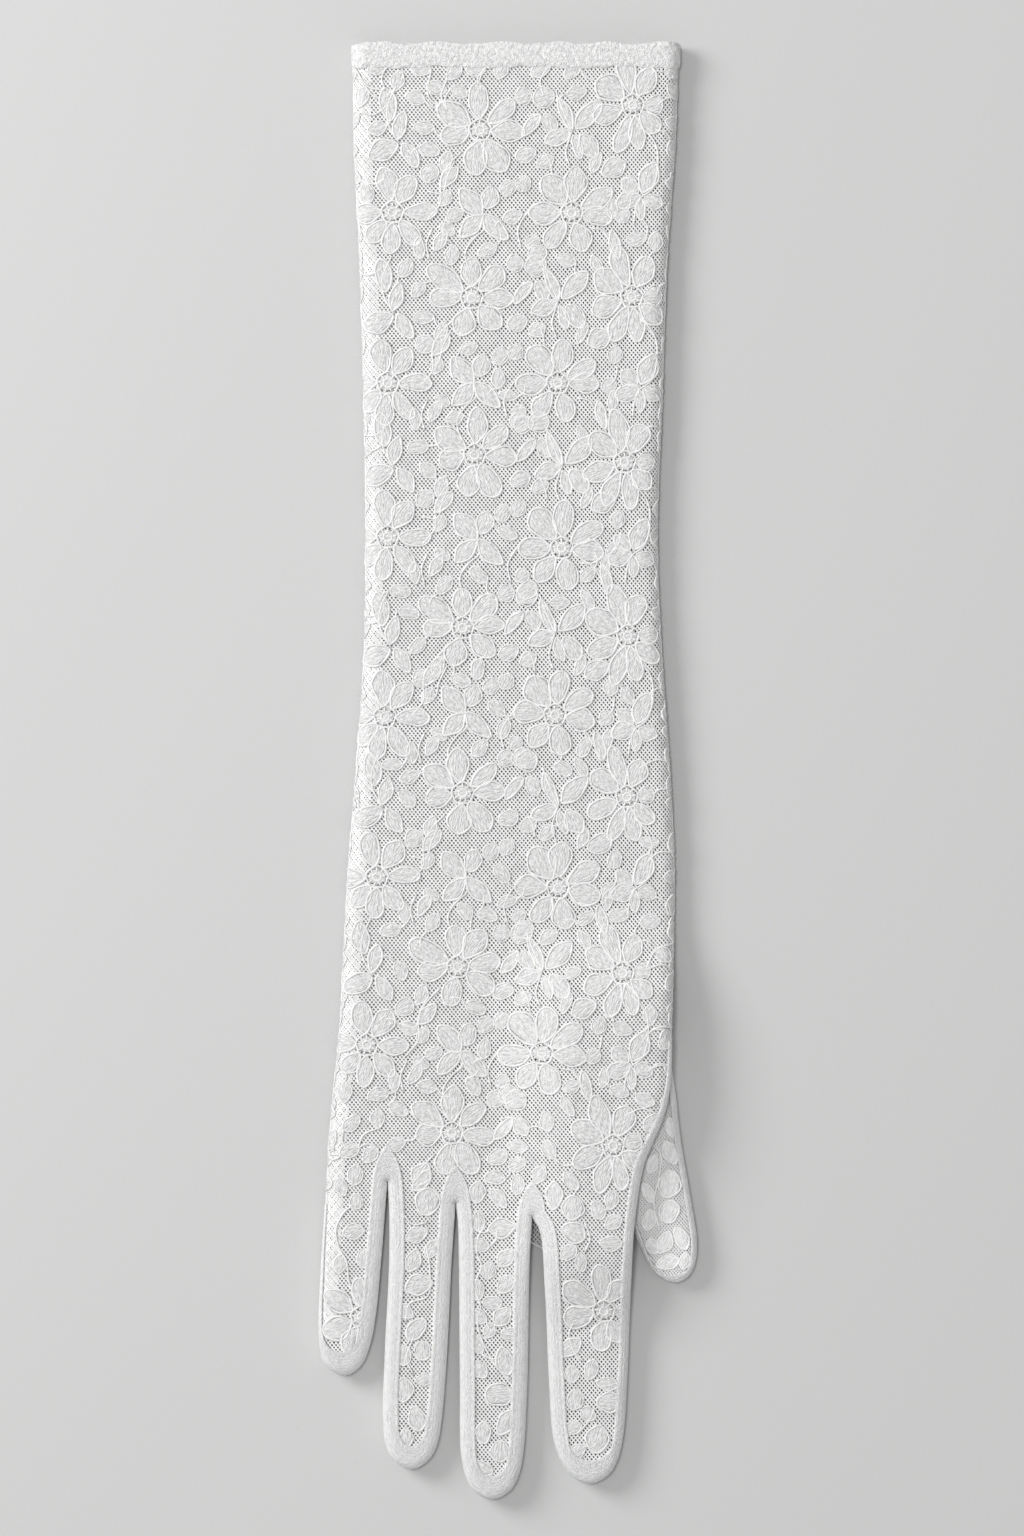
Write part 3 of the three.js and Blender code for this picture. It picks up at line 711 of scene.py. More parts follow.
def fillers(rows, middles):
    # leaves and buds for the open places of the net, the largest place first, each on a short stem that
    # runs to its nearest neighbour
    spec = fillerSpec
    rng = np.random.default_rng(spec["seed"])
    share = np.array([[0.08, 0.3, 0.5, 0.7, 0.92]])
    points = patchPoints(share, 0.0 * share, rows).reshape(-1, 2)
    radii = patchWidth(share, rows).ravel()
    points = np.concatenate([points, np.array(middles)])
    radii = np.concatenate([radii, np.full(len(middles), spec["flowerRoom"])])
    x, y = np.meshgrid(np.arange(spec["leftX"], spec["rightX"], spec["grid"]),
                       np.arange(spec["lowY"], hemStart, spec["grid"]))
    spots = np.stack([x.ravel(), y.ravel()], axis=1)
    spots = spots + rng.uniform(-spec["shift"], spec["shift"], spots.shape)
    spots = spots[openNet(spots) | openFinger(spots)]
    room = np.concatenate([roomLeft(part, points, radii) for part in np.array_split(spots, 24)])
    added, stems = [], []
    while room.max() > spec["leastRoom"]:
        best = np.argmax(room)
        spot, space = spots[best], room[best]
        length = min(space * rng.uniform(*spec["lengths"]), spec["longest"])
        width = min(space * rng.uniform(*spec["widths"]), spec["widest"])
        degrees = rng.uniform(0, 360)
        foot = spot - unit(degrees) * length / 2
        kind = "leaf" if rng.uniform() < spec["leafShare"] else "bud"
        added.append([*foot, degrees, length, width, *motifSpec["shapes"][kind]])
        nearest = points[np.argmin(np.linalg.norm(points - foot, axis=1) - radii)]
        bend = (nearest - foot)[::-1] * (0.2, -0.2)
        stems.append(np.array([foot, (foot + nearest) / 2 + bend, nearest]))
        room = np.minimum(room, roomLeft(spots, spot[None, :], np.array([max(length, width) / 2])))
    return np.array(added), stems


def patchPhase(rows):
    # a different angle for each patch, from its place
    return (1.7 * rows[:, 0] + 2.3 * rows[:, 1])[:, None]


def patchWidth(s, rows):
    # half width at the share s of the length: sin(pi s^widest)^roundness, times a slow wave
    wave = 1 + motifSpec["uneven"] * np.sin(8.0 * s + patchPhase(rows))
    return rows[:, 4, None] / 2 * np.sin(np.pi * s ** rows[:, 5, None]) ** rows[:, 6, None] * wave


def patchPoints(s, q, rows):
    # flat points of each patch: foot + s length along + (q half width + bend sin(pi s)) across
    way = unit(rows[:, 2])[:, None, :]
    off = np.stack([-way[..., 1], way[..., 0]], axis=-1)
    bend = motifSpec["bend"] * rows[:, 3, None] * np.sin(1.3 * patchPhase(rows)) * np.sin(np.pi * s)
    across = (q * patchWidth(s, rows) + bend)[..., None]
    return rows[:, None, :2] + way * (s * rows[:, 3, None])[..., None] + off * across


def stitchedPatches(rows, side, pouch, spec):
    # petals, leaves and buds as low domes: rings (cos turn across, dome sin turn up) along each patch,
    # closed at both ends. The thread map is the place on the patch, moved so that no two are alike
    steps, ring = spec["alongPatch"], spec["aroundPatch"]
    s = (1 - np.cos(np.linspace(*spec["patchEnds"], steps + 1) * math.pi)) / 2
    turn = 2 * math.pi * np.arange(ring) / ring
    shares = np.tile(np.repeat(s, ring), (len(rows), 1))
    across = np.tile(np.cos(turn), (len(rows), steps + 1))
    rise = np.where(np.sin(turn) > 0, spec["dome"], spec["underside"]) * np.sin(turn)
    rise = np.tile(rise, steps + 1)[None, :, None]
    points, normals = layMotif(patchPoints(shares, across, rows), side, pouch)
    ends = np.repeat(np.sin(np.pi * s) ** 0.5, ring)[None, :, None]
    points = points + normals * (spec["above"] + rise * ends)
    k = np.arange(ring)
    kNext = (k + 1) % ring
    start = np.arange(steps)[:, None] * ring
    quads = np.stack([start + k, start + kNext, start + ring + kNext, start + ring + k], axis=-1)
    fan = np.arange(1, ring - 1)
    caps = np.concatenate([np.stack([0 * fan, fan + 1, fan], axis=-1),
                           np.stack([0 * fan, fan, fan + 1], axis=-1) + steps * ring])
    first = np.arange(len(rows))[:, None, None] * (steps + 1) * ring
    uv = np.stack([shares * rows[:, 3, None], across * patchWidth(shares, rows)], axis=-1)
    uv += rows[:, None, :2] * 1.7
    return (points.reshape(-1, 3), (quads.reshape(-1, 4) + first).reshape(-1, 4),
            (caps + first).reshape(-1, 3), uv.reshape(-1, 2))


def outlineCords(rows, stems, middles, side, pouch, spec, faces):
    # corded outlines round the patches, two rings with short spokes in each flower, and the stems. Each is
    # a tube along its line, with points and radius moved a little at random
    turn = 2 * math.pi * np.arange(spec["outlinePoints"]) / spec["outlinePoints"]
    s = np.tile(np.clip((1 - np.cos(turn)) / 2, 0.004, 0.996), (len(rows), 1))
    grown = easeStep(rows[:, 3], *spec["thinLengths"])
    radius = np.repeat(spec["cord"] * (spec["thinCord"] + (1 - spec["thinCord"]) * grown), len(turn))
    loops = [(patchPoints(s, np.sign(np.sin(turn))[None, :], rows), radius)]
    lines = [evenly([smoothCurve(stem, 8)], 1.0)[0] for stem in stems]
    if len(middles):
        centre = np.array(middles).reshape(-1, 1, 2)
        wobble = 1 + spec["ringWobble"] * np.sin(5 * turn)[None, :, None]
        large = unit(np.degrees(turn))[None, :, :] * spec["middleRing"] * wobble
        loops.append((centre + large, spec["cord"]))
        small = unit(np.arange(spec["innerPoints"]) * 360.0 / spec["innerPoints"])[None, :, :]
        loops.append((centre + small * spec["innerRing"], spec["cord"] * spec["innerCord"]))
        spokes = unit(np.arange(spec["spokes"]) * 360.0 / spec["spokes"] + 12.0)
        reach = np.array(spec["spokeReach"])[:, None]
        lines += [middle + way * reach for middle in middles for way in spokes]
    parts = []
    rng = np.random.default_rng(3)
    for flat, radius in loops:
        order = np.arange(flat.shape[0] * flat.shape[1]).reshape(flat.shape[:2])
        moved = flat + rng.uniform(-spec["frizz"], spec["frizz"], flat.shape)
        points, normals = layMotif(moved, side, pouch)
        points = (points + normals * spec["above"]).reshape(-1, 3)
        uneven = radius * (1 + spec["unevenCord"] * rng.uniform(-1, 1, len(points)))
        parts.append(tubes(points, normals.reshape(-1, 3), np.roll(order, -1, axis=1).ravel(), uneven, faces))
    sizes = [len(line) for line in lines]
    following = np.arange(1, sum(sizes) + 1)
    following[np.cumsum(sizes) - 1] = -1
    points, normals = layMotif(np.concatenate(lines), side, pouch)
    points = points + normals * spec["above"]
    parts.append(tubes(points, normals, following, spec["cord"] * spec["stemCord"], faces))
    return joined(parts)


# Finishes: pale and grey are the two tones, patch and yarn the scales of their noise and of the relief's.
# One scale is even fuzz in the object's own space, three are streaks along the piece's thread map
threadLook = {"patch": (260.0,), "yarn": (3200.0,), "bump": 0.2, "deep": 0.3, "soft": 0.0}
cordLook = {"patch": (500.0,), "yarn": (3200.0,), "bump": 0.4, "deep": 0.3, "soft": 0.0}
fillLook = {"patch": (0.6, 1.7, 1.0), "yarn": (0.9, 2.6, 1.0), "bump": 1.0, "deep": 0.6, "soft": 0.0}
finishes = {
    "netThread": {**threadLook, "pale": 0.80, "grey": 0.73},
    # edgeThreadPaintedLight is netThread made a shade lighter: a little painted light on the left roll, which
    # the key lamp already lights
    "edgeThreadPaintedLight": {**threadLook, "pale": 0.80, "grey": 0.75},
    # The thumb's three finishes are lighter copies of netThread, petalFill and outlineCord, the same cotton:
    # painted light that lifts the thumb out of the shade the hand casts on it
    "thumbThreadPaintedLight": {**threadLook, "pale": 0.81, "grey": 0.75},
    "thumbFillPaintedLight": {**fillLook, "pale": 0.92, "grey": 0.76},
    "thumbCordPaintedLight": {**cordLook, "pale": 0.95, "grey": 0.86},
    "petalFill": {**fillLook, "pale": 0.775, "grey": 0.595},
    "outlineCord": {**cordLook, "pale": 0.83, "grey": 0.73},
    "bandKnit": {"pale": 0.99, "grey": 0.85, "patch": (0.4, 1.9, 1.0), "yarn": (0.8, 2.2, 1.0), "bump": 1.0,
                 "deep": 0.8, "soft": 0.9},
    "hemKnit": {"pale": 0.82, "grey": 0.64, "patch": (1100.0,), "yarn": (2400.0,), "bump": 1.0, "deep": 0.5,
                "soft": 0.0},
}
yarnLook = {
    "Roughness": 0.9,
    "Specular IOR Level": 0.25,
    "Subsurface Radius": (1.0, 1.0, 1.0),
    "Subsurface Scale": 0.0025,
}
toneStops = (0.36, 0.62)  # noise values of the grey and of the pale tone
warmth = 0.995            # blue of a tone as a share of it


def addNoise(nodes, links, where, scale, detail):
    # noise in the object's space for one scale, and along the thread map, stretched, for three
    noise = nodes.new("ShaderNodeTexNoise")
    noise.inputs["Detail"].default_value = detail
    if len(scale) == 1:
        noise.inputs["Scale"].default_value = scale[0]
        links.new(where.outputs["Object"], noise.inputs["Vector"])
        return noise.outputs["Fac"]
    noise.inputs["Scale"].default_value = 1.0
    stretch = nodes.new("ShaderNodeMapping")
    stretch.inputs["Scale"].default_value = scale
    links.new(where.outputs["UV"], stretch.inputs["Vector"])
    links.new(stretch.outputs["Vector"], noise.inputs["Vector"])
    return noise.outputs["Fac"]


def makeFinish(name):
    # cotton: tones between grey and pale from one noise, fine yarn as relief from another
    spec = finishes[name]
    finish = bpy.data.materials.new(name)
    finish.use_nodes = True
    nodes, links = finish.node_tree.nodes, finish.node_tree.links
    shader = nodes["Principled BSDF"]
    for socket, value in yarnLook.items():
        shader.inputs[socket].default_value = value
    shader.inputs["Subsurface Weight"].default_value = spec["soft"]
    where = nodes.new("ShaderNodeTexCoord")
    tones = nodes.new("ShaderNodeValToRGB")
    for stop, place, tone in zip(tones.color_ramp.elements, toneStops, (spec["grey"], spec["pale"])):
        stop.position = place
        stop.color = (tone, tone, tone * warmth, 1)
    links.new(addNoise(nodes, links, where, spec["patch"], 3.0), tones.inputs["Fac"])
    links.new(tones.outputs["Color"], shader.inputs["Base Color"])
    bump = nodes.new("ShaderNodeBump")
    bump.inputs["Strength"].default_value = spec["bump"]
    bump.inputs["Distance"].default_value = spec["deep"] * 0.001
    links.new(addNoise(nodes, links, where, spec["yarn"], 2.0), bump.inputs["Height"])
    links.new(bump.outputs["Normal"], shader.inputs["Normal"])
    return finish


cotton = {name: makeFinish(name) for name in finishes}
print("finishes:", ", ".join(cotton))

# The two pouches that the cloth lies on
littleFinger, indexFinger = shape["fingers"][0], shape["fingers"][-1]
glovePouch = makePouch([*edgeOf(shape["body"], -1), *edgeOf(littleFinger["rows"], -1), littleFinger["tip"]],
                       [*edgeOf(shape["body"], 1), *edgeOf(indexFinger["rows"], 1), indexFinger["tip"]],
                       shape["height"], True)
thumbLeft = edgeOf(shape["thumbRows"], -1)
thumbRight = edgeOf(shape["thumbRows"], 1)
thumbPouch = makePouch([shape["thumbBase"], *thumbLeft, shape["thumbTip"]],
                       [shape["thumbBase"], *thumbRight, shape["thumbTip"]], shape["thumbHeight"], False)


def clothEdge(pouch, hand, y):
    # flat cloth's x at the middle of a rolled side
    middle = pouch["roll"]["arc"][-1] / 2
    if hand < 0:
        return np.interp(y, *pouch["left"]) + shape["roll"] - middle
    return np.interp(y, *pouch["right"]) - shape["roll"] + middle


def sideLine(pouch, hand, y):
    # the same as points (x, y)
    return np.column_stack([clothEdge(pouch, hand, y), y])


def tucked(side):
    # the seam line, moved a little under the band
    outer, inner = side
    return inner + bandSpec["tuck"] * (outer - inner)


clothSpec = {
    "top": hemStart + 0.6,            # under the hem
    "littleSide": (-150.0, -151.5),   # y where the little finger's side ends and its band takes over
    "indexSide": (-176.0, -178.0),
    "closeWidth": 6.2,                # of the closer net along the left side
    "closeEnd": -152.0,
    "holeMiddle": np.array([33.2, -89.0]),    # oval way from the palm into the thumb
    "holeHalf": np.array([5.2, 13.0]),
}


def gloveOutline():
    # flat cloth of one layer: down the left side, round the fingers' seam lines, up the right side
    littleSide, littleBand = clothSpec["littleSide"]
    indexSide, indexBand = clothSpec["indexSide"]
    inner = [tucked(half) for finger in sides for half in finger]
    return np.concatenate([
        sideLine(glovePouch, -1, np.linspace(clothSpec["top"], littleSide, 80)),
        inner[0][inner[0][:, 1] < littleBand], *inner[1:-1], inner[-1][inner[-1][:, 1] < indexBand],
        sideLine(glovePouch, 1, np.linspace(indexSide, clothSpec["top"], 90))])


cloth = gloveOutline()
thumbHole = clothSpec["holeMiddle"] + unit(np.arange(0.0, 360.0, 15.0)) * clothSpec["holeHalf"]
netting("backNet", [cloth], 1, glovePouch, netSpec, "netThread", ["back_panel"])
netting("palmNet", [cloth, thumbHole], -1, glovePouch, palmNetSpec, "netThread", ["palm_panel"])

# Closer net where the left side turns under
closeLine = sideLine(glovePouch, -1, np.linspace(clothSpec["top"], clothSpec["closeEnd"], 120))
closeCloth = np.concatenate([closeLine, (closeLine + (clothSpec["closeWidth"], 0.0))[::-1]])
# its lighter thread adds a little painted light to the lit left side
netting("leftEdgeNet", [closeCloth], 1, glovePouch, edgeNetSpec, "edgeThreadPaintedLight")

# Finger bands as one strip: the plain outer side of the little finger, round every tip and crotch, and the
# narrow band beside the thumb
halves = [half for finger in sides for half in finger]
bandOuter = np.concatenate([halves[0][0]] + [half[0][1:] for half in halves[1:]])
bandInner = np.concatenate([halves[0][1]] + [half[1][1:] for half in halves[1:]])
corners, quads, triangles, uv = bandShell(bandOuter, bandInner, shape["height"], True)
addMesh("fingerBands", corners, quads, triangles, cotton["bandKnit"], uv=uv, flat=bandCaps,
        stands=["fourchette_1", "fourchette_2", "fourchette_3"])


# Thumb
thumbSpec = {
    "leftWidth": 1.0,     # of its edge band
    "rightWidth": 1.5,
    "tipWidth": 1.9,
    "tipReach": 9.0,
    "grow": 16.0,         # the band gets its width over this length from the thumb's base
    "clothTop": (36.0, -72.5),
    "clothSide": (-76.0, -124.0),
    "clothTip": -125.5,   # y below which the net follows the band
}


def thumbSides():
    # the thumb's outline from its base down the left side, round the tip and back, with its seam line
    outer = smoothCurve([shape["thumbBase"], *thumbLeft, shape["thumbTip"], *thumbRight[::-1],
                         shape["thumbBase"]], shape["curveParts"])
    tip = (len(thumbLeft) + 1) * shape["curveParts"]
    length = along(outer)
    fromTip = np.abs(length - length[tip])
    side = np.where(np.arange(len(outer)) < tip, thumbSpec["leftWidth"], thumbSpec["rightWidth"])
    side = side * (0.4 + 0.6 * easeStep(np.minimum(length, length[-1] - length), 0.0, thumbSpec["grow"]))
    inner = roundedEnd(outer + inwardOf(outer) * side[:, None], fromTip, thumbSpec["tipReach"], outer[tip],
                       thumbSpec["tipWidth"])
    return evenly([outer, inner], bandSpec["step"])


thumbOuter, thumbInner = thumbSides()
corners, quads, triangles, uv = bandShell(thumbOuter, thumbInner, shape["thumbHeight"], False)
addMesh("thumbBand", corners, quads, triangles, cotton["bandKnit"], uv=uv, flat=bandCaps)
down = np.linspace(*thumbSpec["clothSide"], 30)
thumbEnd = tucked((thumbOuter, thumbInner))
thumbCloth = np.concatenate([
    [thumbSpec["clothTop"]], sideLine(thumbPouch, -1, down), thumbEnd[thumbEnd[:, 1] < thumbSpec["clothTip"]],
    sideLine(thumbPouch, 1, down[::-1])])
# the thumb's nets take the lighter thumb thread: a little painted light against the hand's shade
netting("thumbNet", [thumbCloth], 1, thumbPouch, thumbNetSpec, "thumbThreadPaintedLight", ["thumb"])
netting("thumbUnderNet", [thumbCloth], -1, thumbPouch, thumbNetSpec, "thumbThreadPaintedLight")


# Motifs on the cloth
placing = {
    "underHem": 1.5,      # how far a motif may go under the hem
    "underBand": 0.35,    # and under a band's seam
    "besideSide": 0.5,    # past the middle of a rolled side
    "stemEnd": -108.0,    # lowest y of the hand's own stems
    "archRoom": 6.0,      # leaves are added this far from a crotch,
    "archSquash": 0.6,    # with the way along the hand counted as this share,
    "seamRoom": 0.6,      # this far inside a finger's seams,
    "tipRoom": 8.0,       # and this far from its tip
    "holeRoom": 1.5,
}


def fingerNumber(flat):
    # the finger whose axis is nearest
    axes = np.array([finger["tip"][0] for finger in shape["fingers"]])
    return np.argmin(np.abs(flat[..., 0, None] - axes), axis=-1)


def fingerEdges(finger, y):
    # x of a finger's two edges at each y, straight from row to row
    rows = np.array(finger["rows"])[::-1]
    return np.interp(y, rows[:, 0], rows[:, 1]), np.interp(y, rows[:, 0], rows[:, 2])


def keptIn(flat, owner):
    # keeps the lower motifs of each finger between its seams, and every motif below the hem
    kept = flat.copy()
    kept[..., 1] = np.minimum(flat[..., 1], hemStart + placing["underHem"])
    margin = bandSpec["width"] - placing["underBand"]
    for n, finger in enumerate(shape["fingers"]):
        low, high = fingerEdges(finger, flat[..., 1])
        low = low + margin * (n > 0)
        high = high - margin * (n < len(shape["fingers"]) - 1)
        held = (owner == n) & (flat[..., 1] < finger["rows"][0][0] + 1.0)
        kept[..., 0] = np.where(held, np.clip(kept[..., 0], low, high), kept[..., 0])
    return kept


def layMotif(flat, side, pouch):
    # lays a motif on its pouch. On the hand a patch goes with the finger that its middle is over
    if pouch is glovePouch:
        middle = flat.mean(axis=1, keepdims=True) if flat.ndim == 3 else flat
        flat = keptIn(flat, fingerNumber(middle))
    return layCloth(flat, side, pouch)


def addMotifs(name, motifs, side, pouch, spec, fill, cord):
    # the patches with a round heart in each flower as one piece, and their cords as another
    rows, stems, middles = motifs
    size = spec["heart"]
    hearts = [[x - size, y, 0.0, 2 * size, 2 * size, *spec["shapes"]["bud"]] for x, y in middles]
    patches = np.concatenate([rows, np.array(hearts).reshape(-1, rows.shape[1])])
    corners, quads, triangles, uv = stitchedPatches(patches, side, pouch, spec)
    addMesh(name + "Petals", corners, quads, triangles, cotton[fill], uv=uv)
    faces = 4 if side > 0 else 3
    corners, quads, triangles = outlineCords(rows, stems, middles, side, pouch, spec, faces)
    addMesh(name + "Cords", corners, quads, triangles, cotton[cord])


def nearCloth(flat):
    # true where flat cloth of the hand is: between the middles of the sides, above the fingers
    left = clothEdge(glovePouch, -1, flat[:, 1]) - placing["besideSide"]
    right = clothEdge(glovePouch, 1, flat[:, 1]) + placing["besideSide"]
    return (flat[:, 0] > left) & (flat[:, 0] < right) & (flat[:, 1] > shape["fingerLine"])


def openNet(flat):
    # true away from the arches over the crotches
    clear = nearCloth(flat)
    for x, y, peak in shape["crotches"]:
        away = np.hypot(flat[:, 0] - x, (flat[:, 1] - y) * placing["archSquash"])
        clear &= away > placing["archRoom"]
    return clear


def openFinger(flat):
    # true between the seams of the fingers, short of the closely knitted tips
    clear = np.zeros(len(flat), bool)
    room = bandSpec["width"] + placing["seamRoom"]
    for finger in shape["fingers"]:
        low, high = fingerEdges(finger, flat[:, 1])
        within = (flat[:, 0] > low + room) & (flat[:, 0] < high - room)
        low = finger["tip"][1] + placing["tipRoom"]
        clear |= within & (flat[:, 1] > low) & (flat[:, 1] < shape["fingerLine"])
    return clear


def middleOf(rows):
    # half its length along from each patch's foot
    return rows[:, :2] + unit(rows[:, 2]) * rows[:, 3, None] / 2


def foldLine(flat):
    # what the under layer is the mirror image about: the hand's middle line, or a finger's own axis
    hand = (np.interp(flat[..., 1], *glovePouch["left"]) + np.interp(flat[..., 1], *glovePouch["right"])) / 2
    axes = np.array([finger["tip"][0] for finger in shape["fingers"]])
    return np.where(flat[..., 1] > shape["fingerLine"], hand, axes[fingerNumber(flat)])


def mirrored(points):
    # the under layer's cloth, folded: x goes to the other side of the fold line
    turned = np.array(points, float)
    turned[..., 0] = 2 * foldLine(turned) - turned[..., 0]
    return turned


def clearOfHole(flat):
    # true outside the oval way into the thumb
    off = (np.asarray(flat) - clothSpec["holeMiddle"]) / (clothSpec["holeHalf"] + placing["holeRoom"])
    return (off ** 2).sum(axis=-1) > 1.0


def palmMotifs(rows, stems, middles):
    # the back's motifs, mirrored, without those over the way into the thumb
    turned = np.array(rows)
    turned[:, :2] = mirrored(rows[:, :2])
    turned[:, 2] = 180.0 - rows[:, 2]
    stems = [mirrored(stem) for stem in stems]
    middles = [mirrored(middle) for middle in middles]
    return (turned[clearOfHole(middleOf(turned))], [stem for stem in stems if clearOfHole(stem).all()],
            [middle for middle in middles if clearOfHole(middle)])


def allOf(groups):
    # several (rows, stems, middles) as one
    rows, stems, middles = zip(*groups)
    return np.concatenate(rows), sum(stems, []), sum(middles, [])


rows, stems, middles = bodyMotifs()
stems = [stem[stem[:, 1] > placing["stemEnd"]] for stem in stems]
stems = [stem for stem in stems if len(stem) > 1 and stem[:, 1].max() < hemStart + 3.0]
groups = [(rows[nearCloth(middleOf(rows))], stems, middles)]
for finger in shape["fingers"]:
    chart = fingerCharts[finger["name"]]
    rows, stems, middles = chartRows(chart, 0.0, 0.0, chart["flowers"], hold=0.5)
    groups.append((np.concatenate(rows), stems, middles))
charted = allOf(groups)
rows, stems = fillers(charted[0], charted[2])
stems = [stem for stem in stems if openNet(stem).all() or openFinger(stem).all()]
back = allOf([charted, (rows, stems, [])])
addMotifs("back", back, 1, glovePouch, motifSpec, "petalFill", "outlineCord")
addMotifs("palm", palmMotifs(*back), -1, glovePouch, coarseMotifSpec, "petalFill", "outlineCord")

rows, stems, middles = chartRows(thumbChart, 0.0, 0.0, thumbChart["flowers"], hold=0.5)
thumbMotifs = (np.concatenate(rows), stems, middles)
# the thumb's motifs take the lighter fill and cord finishes: painted light against the hand's shade
addMotifs("thumb", thumbMotifs, 1, thumbPouch, motifSpec, "thumbFillPaintedLight", "thumbCordPaintedLight")
addMotifs("thumbUnder", thumbMotifs, -1, thumbPouch, coarseMotifSpec, "thumbFillPaintedLight", "thumbCordPaintedLight")

# Hem
hemSpec = {
    "around": 520,        # points round the cuff
    "section": 34,        # points round the hem's own section
    "halfLength": 3.35,
    "halfThick": 0.7,
    "power": 0.7,         # of the section, 1 for an ellipse, squarer for less
    "inset": 0.28,        # of its middle from the solids' skin
    "wave": 0.42,         # of its two edges
    "mottle": 0.2,        # height of the uneven knit
}


def mottle(u, v):
    # uneven knit: products of slanting sines with bent phases
    one = np.sin(2.3 * u + 1.6 * np.sin(1.1 * v)) * np.sin(2.9 * v + 1.7 * np.sin(0.8 * u))
    two = np.sin(4.1 * u - 2.3 * v + 1.2 * np.sin(0.37 * u))
    return 0.7 * one + 0.45 * two


def hemRing():
    # a superellipse, cos^power along the sleeve and sin^power through the cloth, carried round the cuff's
    # mouth, with a sum of sines on its two edges
    roll = rollTable(shape["height"], 0.0)
    left = shape["body"][0][1] + shape["roll"]
    right = shape["body"][0][2] - shape["roll"]
    top = np.linspace(left, right, 60)[1:-1]
    z = shape["height"] - roll["drop"]
    x = np.concatenate([top, right + roll["out"], top[::-1], left - roll["out"][::-1]])
    level = np.concatenate([np.full_like(top, shape["height"]), z, 0 * top, z[::-1]])
    nx = np.concatenate([0 * top, roll["sideways"], 0 * top, -roll["sideways"][::-1]])
    nz = np.concatenate([np.ones_like(top), roll["upward"], -np.ones_like(top), roll["upward"][::-1]])
    loop = np.stack([x, level, nx, nz], axis=1)
    closed = np.vstack([loop, loop[:1]])
    length = along(closed[:, :2])
    at = np.arange(hemSpec["around"]) / hemSpec["around"] * length[-1]
    loop = np.stack([np.interp(at, length, closed[:, k]) for k in range(4)], axis=1)
    turn = 2 * math.pi * np.arange(hemSpec["section"]) / hemSpec["section"]
    reach = np.sign(np.cos(turn)) * np.abs(np.cos(turn)) ** hemSpec["power"]
    thick = np.sign(np.sin(turn)) * np.abs(np.sin(turn)) ** hemSpec["power"]
    u = at[:, None]
    edge = np.where(reach > 0, np.sin(2 * math.pi * u / 15.2 + 0.8 * np.sin(u / 9.0)),
                    0.5 * np.sin(2 * math.pi * u / 6.1 + 1.4 * np.sin(u / 5.0)) + 0.6 * np.sin(u / 3.9))
    y = shape["cuffY"] - shape["hemLength"] / 2 + reach * (hemSpec["halfLength"] + hemSpec["wave"] * edge)
    uneven = hemSpec["mottle"] * mottle(u, y) * np.maximum(thick, 0)
    n = thick * hemSpec["halfThick"] - hemSpec["inset"] + uneven
    level = np.maximum(loop[:, None, 1] + loop[:, None, 3] * n, 0.0)      # not under the floor
    grid = np.stack([loop[:, None, 0] + loop[:, None, 2] * n, y + 0 * n, level], axis=-1)
    rows, cols = grid.shape[:2]
    i = np.arange(rows)[:, None] * cols
    iNext = np.roll(i, -1, axis=0)
    j = np.arange(cols)
    jNext = np.roll(j, -1)
    quads = np.stack([i + j, i + jNext, iNext + jNext, iNext + j], axis=-1).reshape(-1, 4)
    return grid.reshape(-1, 3), quads, np.zeros((0, 3), int)


corners, quads, triangles = hemRing()
addMesh("cuffHem", corners, quads, triangles, cotton["hemKnit"], stands=["hem"])

# Low web between the middle and index fingers
webSpec = {
    "outline": np.array([(4.7, -116.5), (4.7, -125.6), (10.4, -128.6), (10.4, -116.5)]),
    "height": 1.5,
    "thread": 0.258,      # radius of its threads
    "edge": 0.35,         # and of the cord along its lower edge
}


def layWeb(flat):
    # flat points at the web's height, with upward normals
    points = np.column_stack([flat, np.full(len(flat), webSpec["height"])])
    return points, np.tile((0.0, 0.0, 1.0), (len(flat), 1))


def openLine(count):
    # each point's next one along one line
    return np.append(np.arange(1, count), -1)


parts = []
for degrees in netSpec["angles"]:
    flat, following = threadRows([webSpec["outline"]], degrees, dict(netSpec, waver=0.0))
    parts.append(tubes(*layWeb(flat), following, webSpec["thread"], 3))
edge = evenly([webSpec["outline"][1:3]], 1.0)[0]
parts.append(tubes(*layWeb(edge), openLine(len(edge)), webSpec["edge"], 5))
corners, quads, triangles = joined(parts)
addMesh("fingerWeb", corners, quads, triangles, cotton["netThread"])

# Cords along the two sides, where the layers meet
seamSpec = {"radius": 0.4, "underHem": 1.0, "leftEnd": -152.0, "rightEnd": -74.0, "points": 240}
parts = []
for hand, lowest in ((-1, seamSpec["leftEnd"]), (1, seamSpec["rightEnd"])):
    y = np.linspace(hemStart + seamSpec["underHem"], lowest, seamSpec["points"])
    points, normals = layCloth(sideLine(glovePouch, hand, y), 1, glovePouch)
    parts.append(tubes(points, normals, openLine(len(y)), seamSpec["radius"], 5))
corners, quads, triangles = joined(parts)
addMesh("sideSeams", corners, quads, triangles, cotton["outlineCord"])


# Floor, light and camera, in metres
floorSpec = {
    "half": 3.0,
    "level": -0.0002,
    "tone": (0.56, 0.56, 0.558, 1),
    "roughness": 0.95,
    "specular": 0.1,
    "grain": 500.0,       # scale of the paper's grain, and how strong and deep it is
    "strength": 0.12,
    "deep": 0.0003,
}


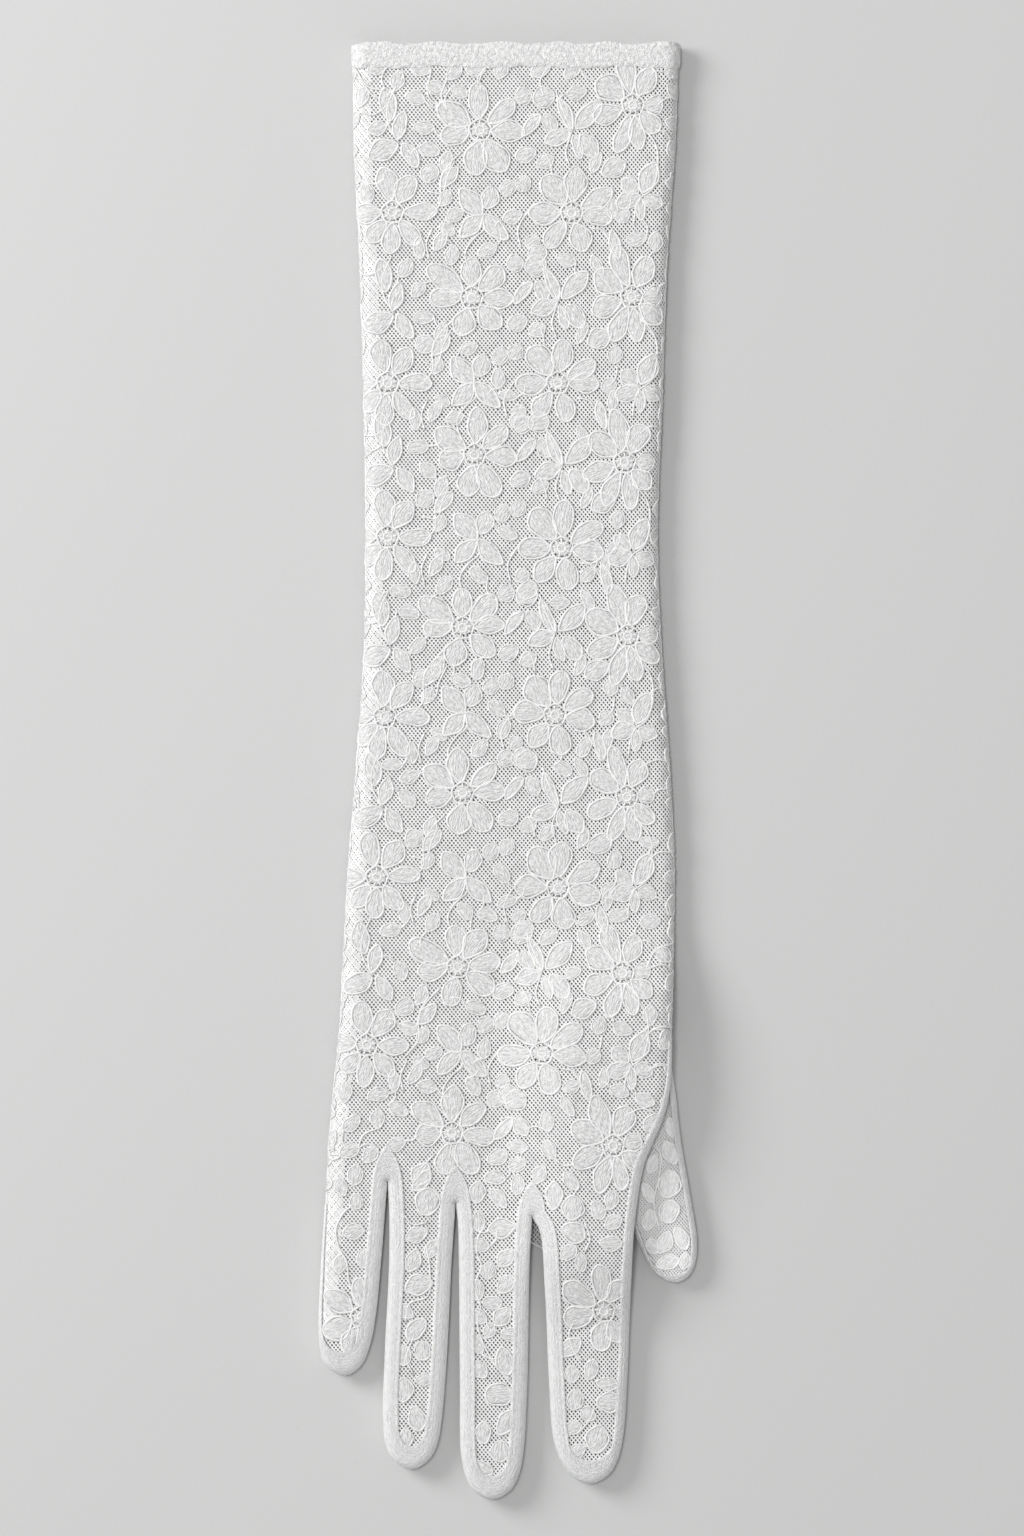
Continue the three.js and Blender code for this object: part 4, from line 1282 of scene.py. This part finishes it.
def makeFloor():
    # one square of pale paper with a fine grain
    spec = floorSpec
    mesh = bpy.data.meshes.new("floor")
    signs = [(-1, -1), (1, -1), (1, 1), (-1, 1)]
    corners = [(spec["half"] * x, spec["half"] * y, spec["level"]) for x, y in signs]
    mesh.from_pydata(corners, [], [(0, 1, 2, 3)])
    floor = bpy.data.objects.new("floor", mesh)
    bpy.context.scene.collection.objects.link(floor)
    paper = bpy.data.materials.new("palePaper")
    paper.use_nodes = True
    nodes, links = paper.node_tree.nodes, paper.node_tree.links
    shader = nodes["Principled BSDF"]
    shader.inputs["Base Color"].default_value = spec["tone"]
    shader.inputs["Roughness"].default_value = spec["roughness"]
    shader.inputs["Specular IOR Level"].default_value = spec["specular"]
    grain = nodes.new("ShaderNodeTexNoise")
    grain.inputs["Scale"].default_value = spec["grain"]
    bump = nodes.new("ShaderNodeBump")
    bump.inputs["Strength"].default_value = spec["strength"]
    bump.inputs["Distance"].default_value = spec["deep"]
    where = nodes.new("ShaderNodeTexCoord")
    links.new(where.outputs["Object"], grain.inputs["Vector"])
    links.new(grain.outputs["Fac"], bump.inputs["Height"])
    links.new(bump.outputs["Normal"], shader.inputs["Normal"])
    mesh.materials.append(paper)


studio = {
    "keyLight": {"place": (-1.2, 0.62, 0.92), "size": 0.85, "power": 20.0},
    "topLight": {"place": (-0.3, 0.2, 3.0), "size": 0.4, "power": 27.0},
    "roomLight": 0.46,
}


def makeLight(name):
    # a round lamp turned to the origin
    spec = studio[name]
    lamp = bpy.data.lights.new(name, "AREA")
    lamp.energy = spec["power"]
    lamp.shape = "DISK"
    lamp.size = spec["size"]
    light = bpy.data.objects.new(name, lamp)
    light.location = spec["place"]
    light.rotation_mode = "QUATERNION"
    light.rotation_quaternion = light.location.normalized().to_track_quat("Z", "Y")
    bpy.context.scene.collection.objects.link(light)


def makeStudio():
    # two soft lamps and an evenly bright room
    makeLight("keyLight")
    makeLight("topLight")
    world = bpy.data.worlds.new("room")
    world.use_nodes = True
    world.node_tree.nodes["Background"].inputs["Color"].default_value = (1, 1, 1, 1)
    world.node_tree.nodes["Background"].inputs["Strength"].default_value = studio["roomLight"]
    bpy.context.scene.world = world
    bpy.context.scene.view_settings.view_transform = "Standard"


view = {"distance": 2.4, "frameHeight": 0.4116, "x": 0.00114, "y": 0.00094, "sensor": 36.0,
        "gloveTop": 0.007}


def makeCamera():
    # straight above: the lens is sensor (distance - gloveTop) / frameHeight
    lens = bpy.data.cameras.new("camera")
    lens.sensor_width = view["sensor"]
    lens.lens = view["sensor"] * (view["distance"] - view["gloveTop"]) / view["frameHeight"]
    camera = bpy.data.objects.new("camera", lens)
    camera.location = (view["x"], view["y"], view["distance"])
    bpy.context.scene.collection.objects.link(camera)
    bpy.context.scene.camera = camera


makeFloor()
makeStudio()
makeCamera()
print("floor, light and camera are in place")
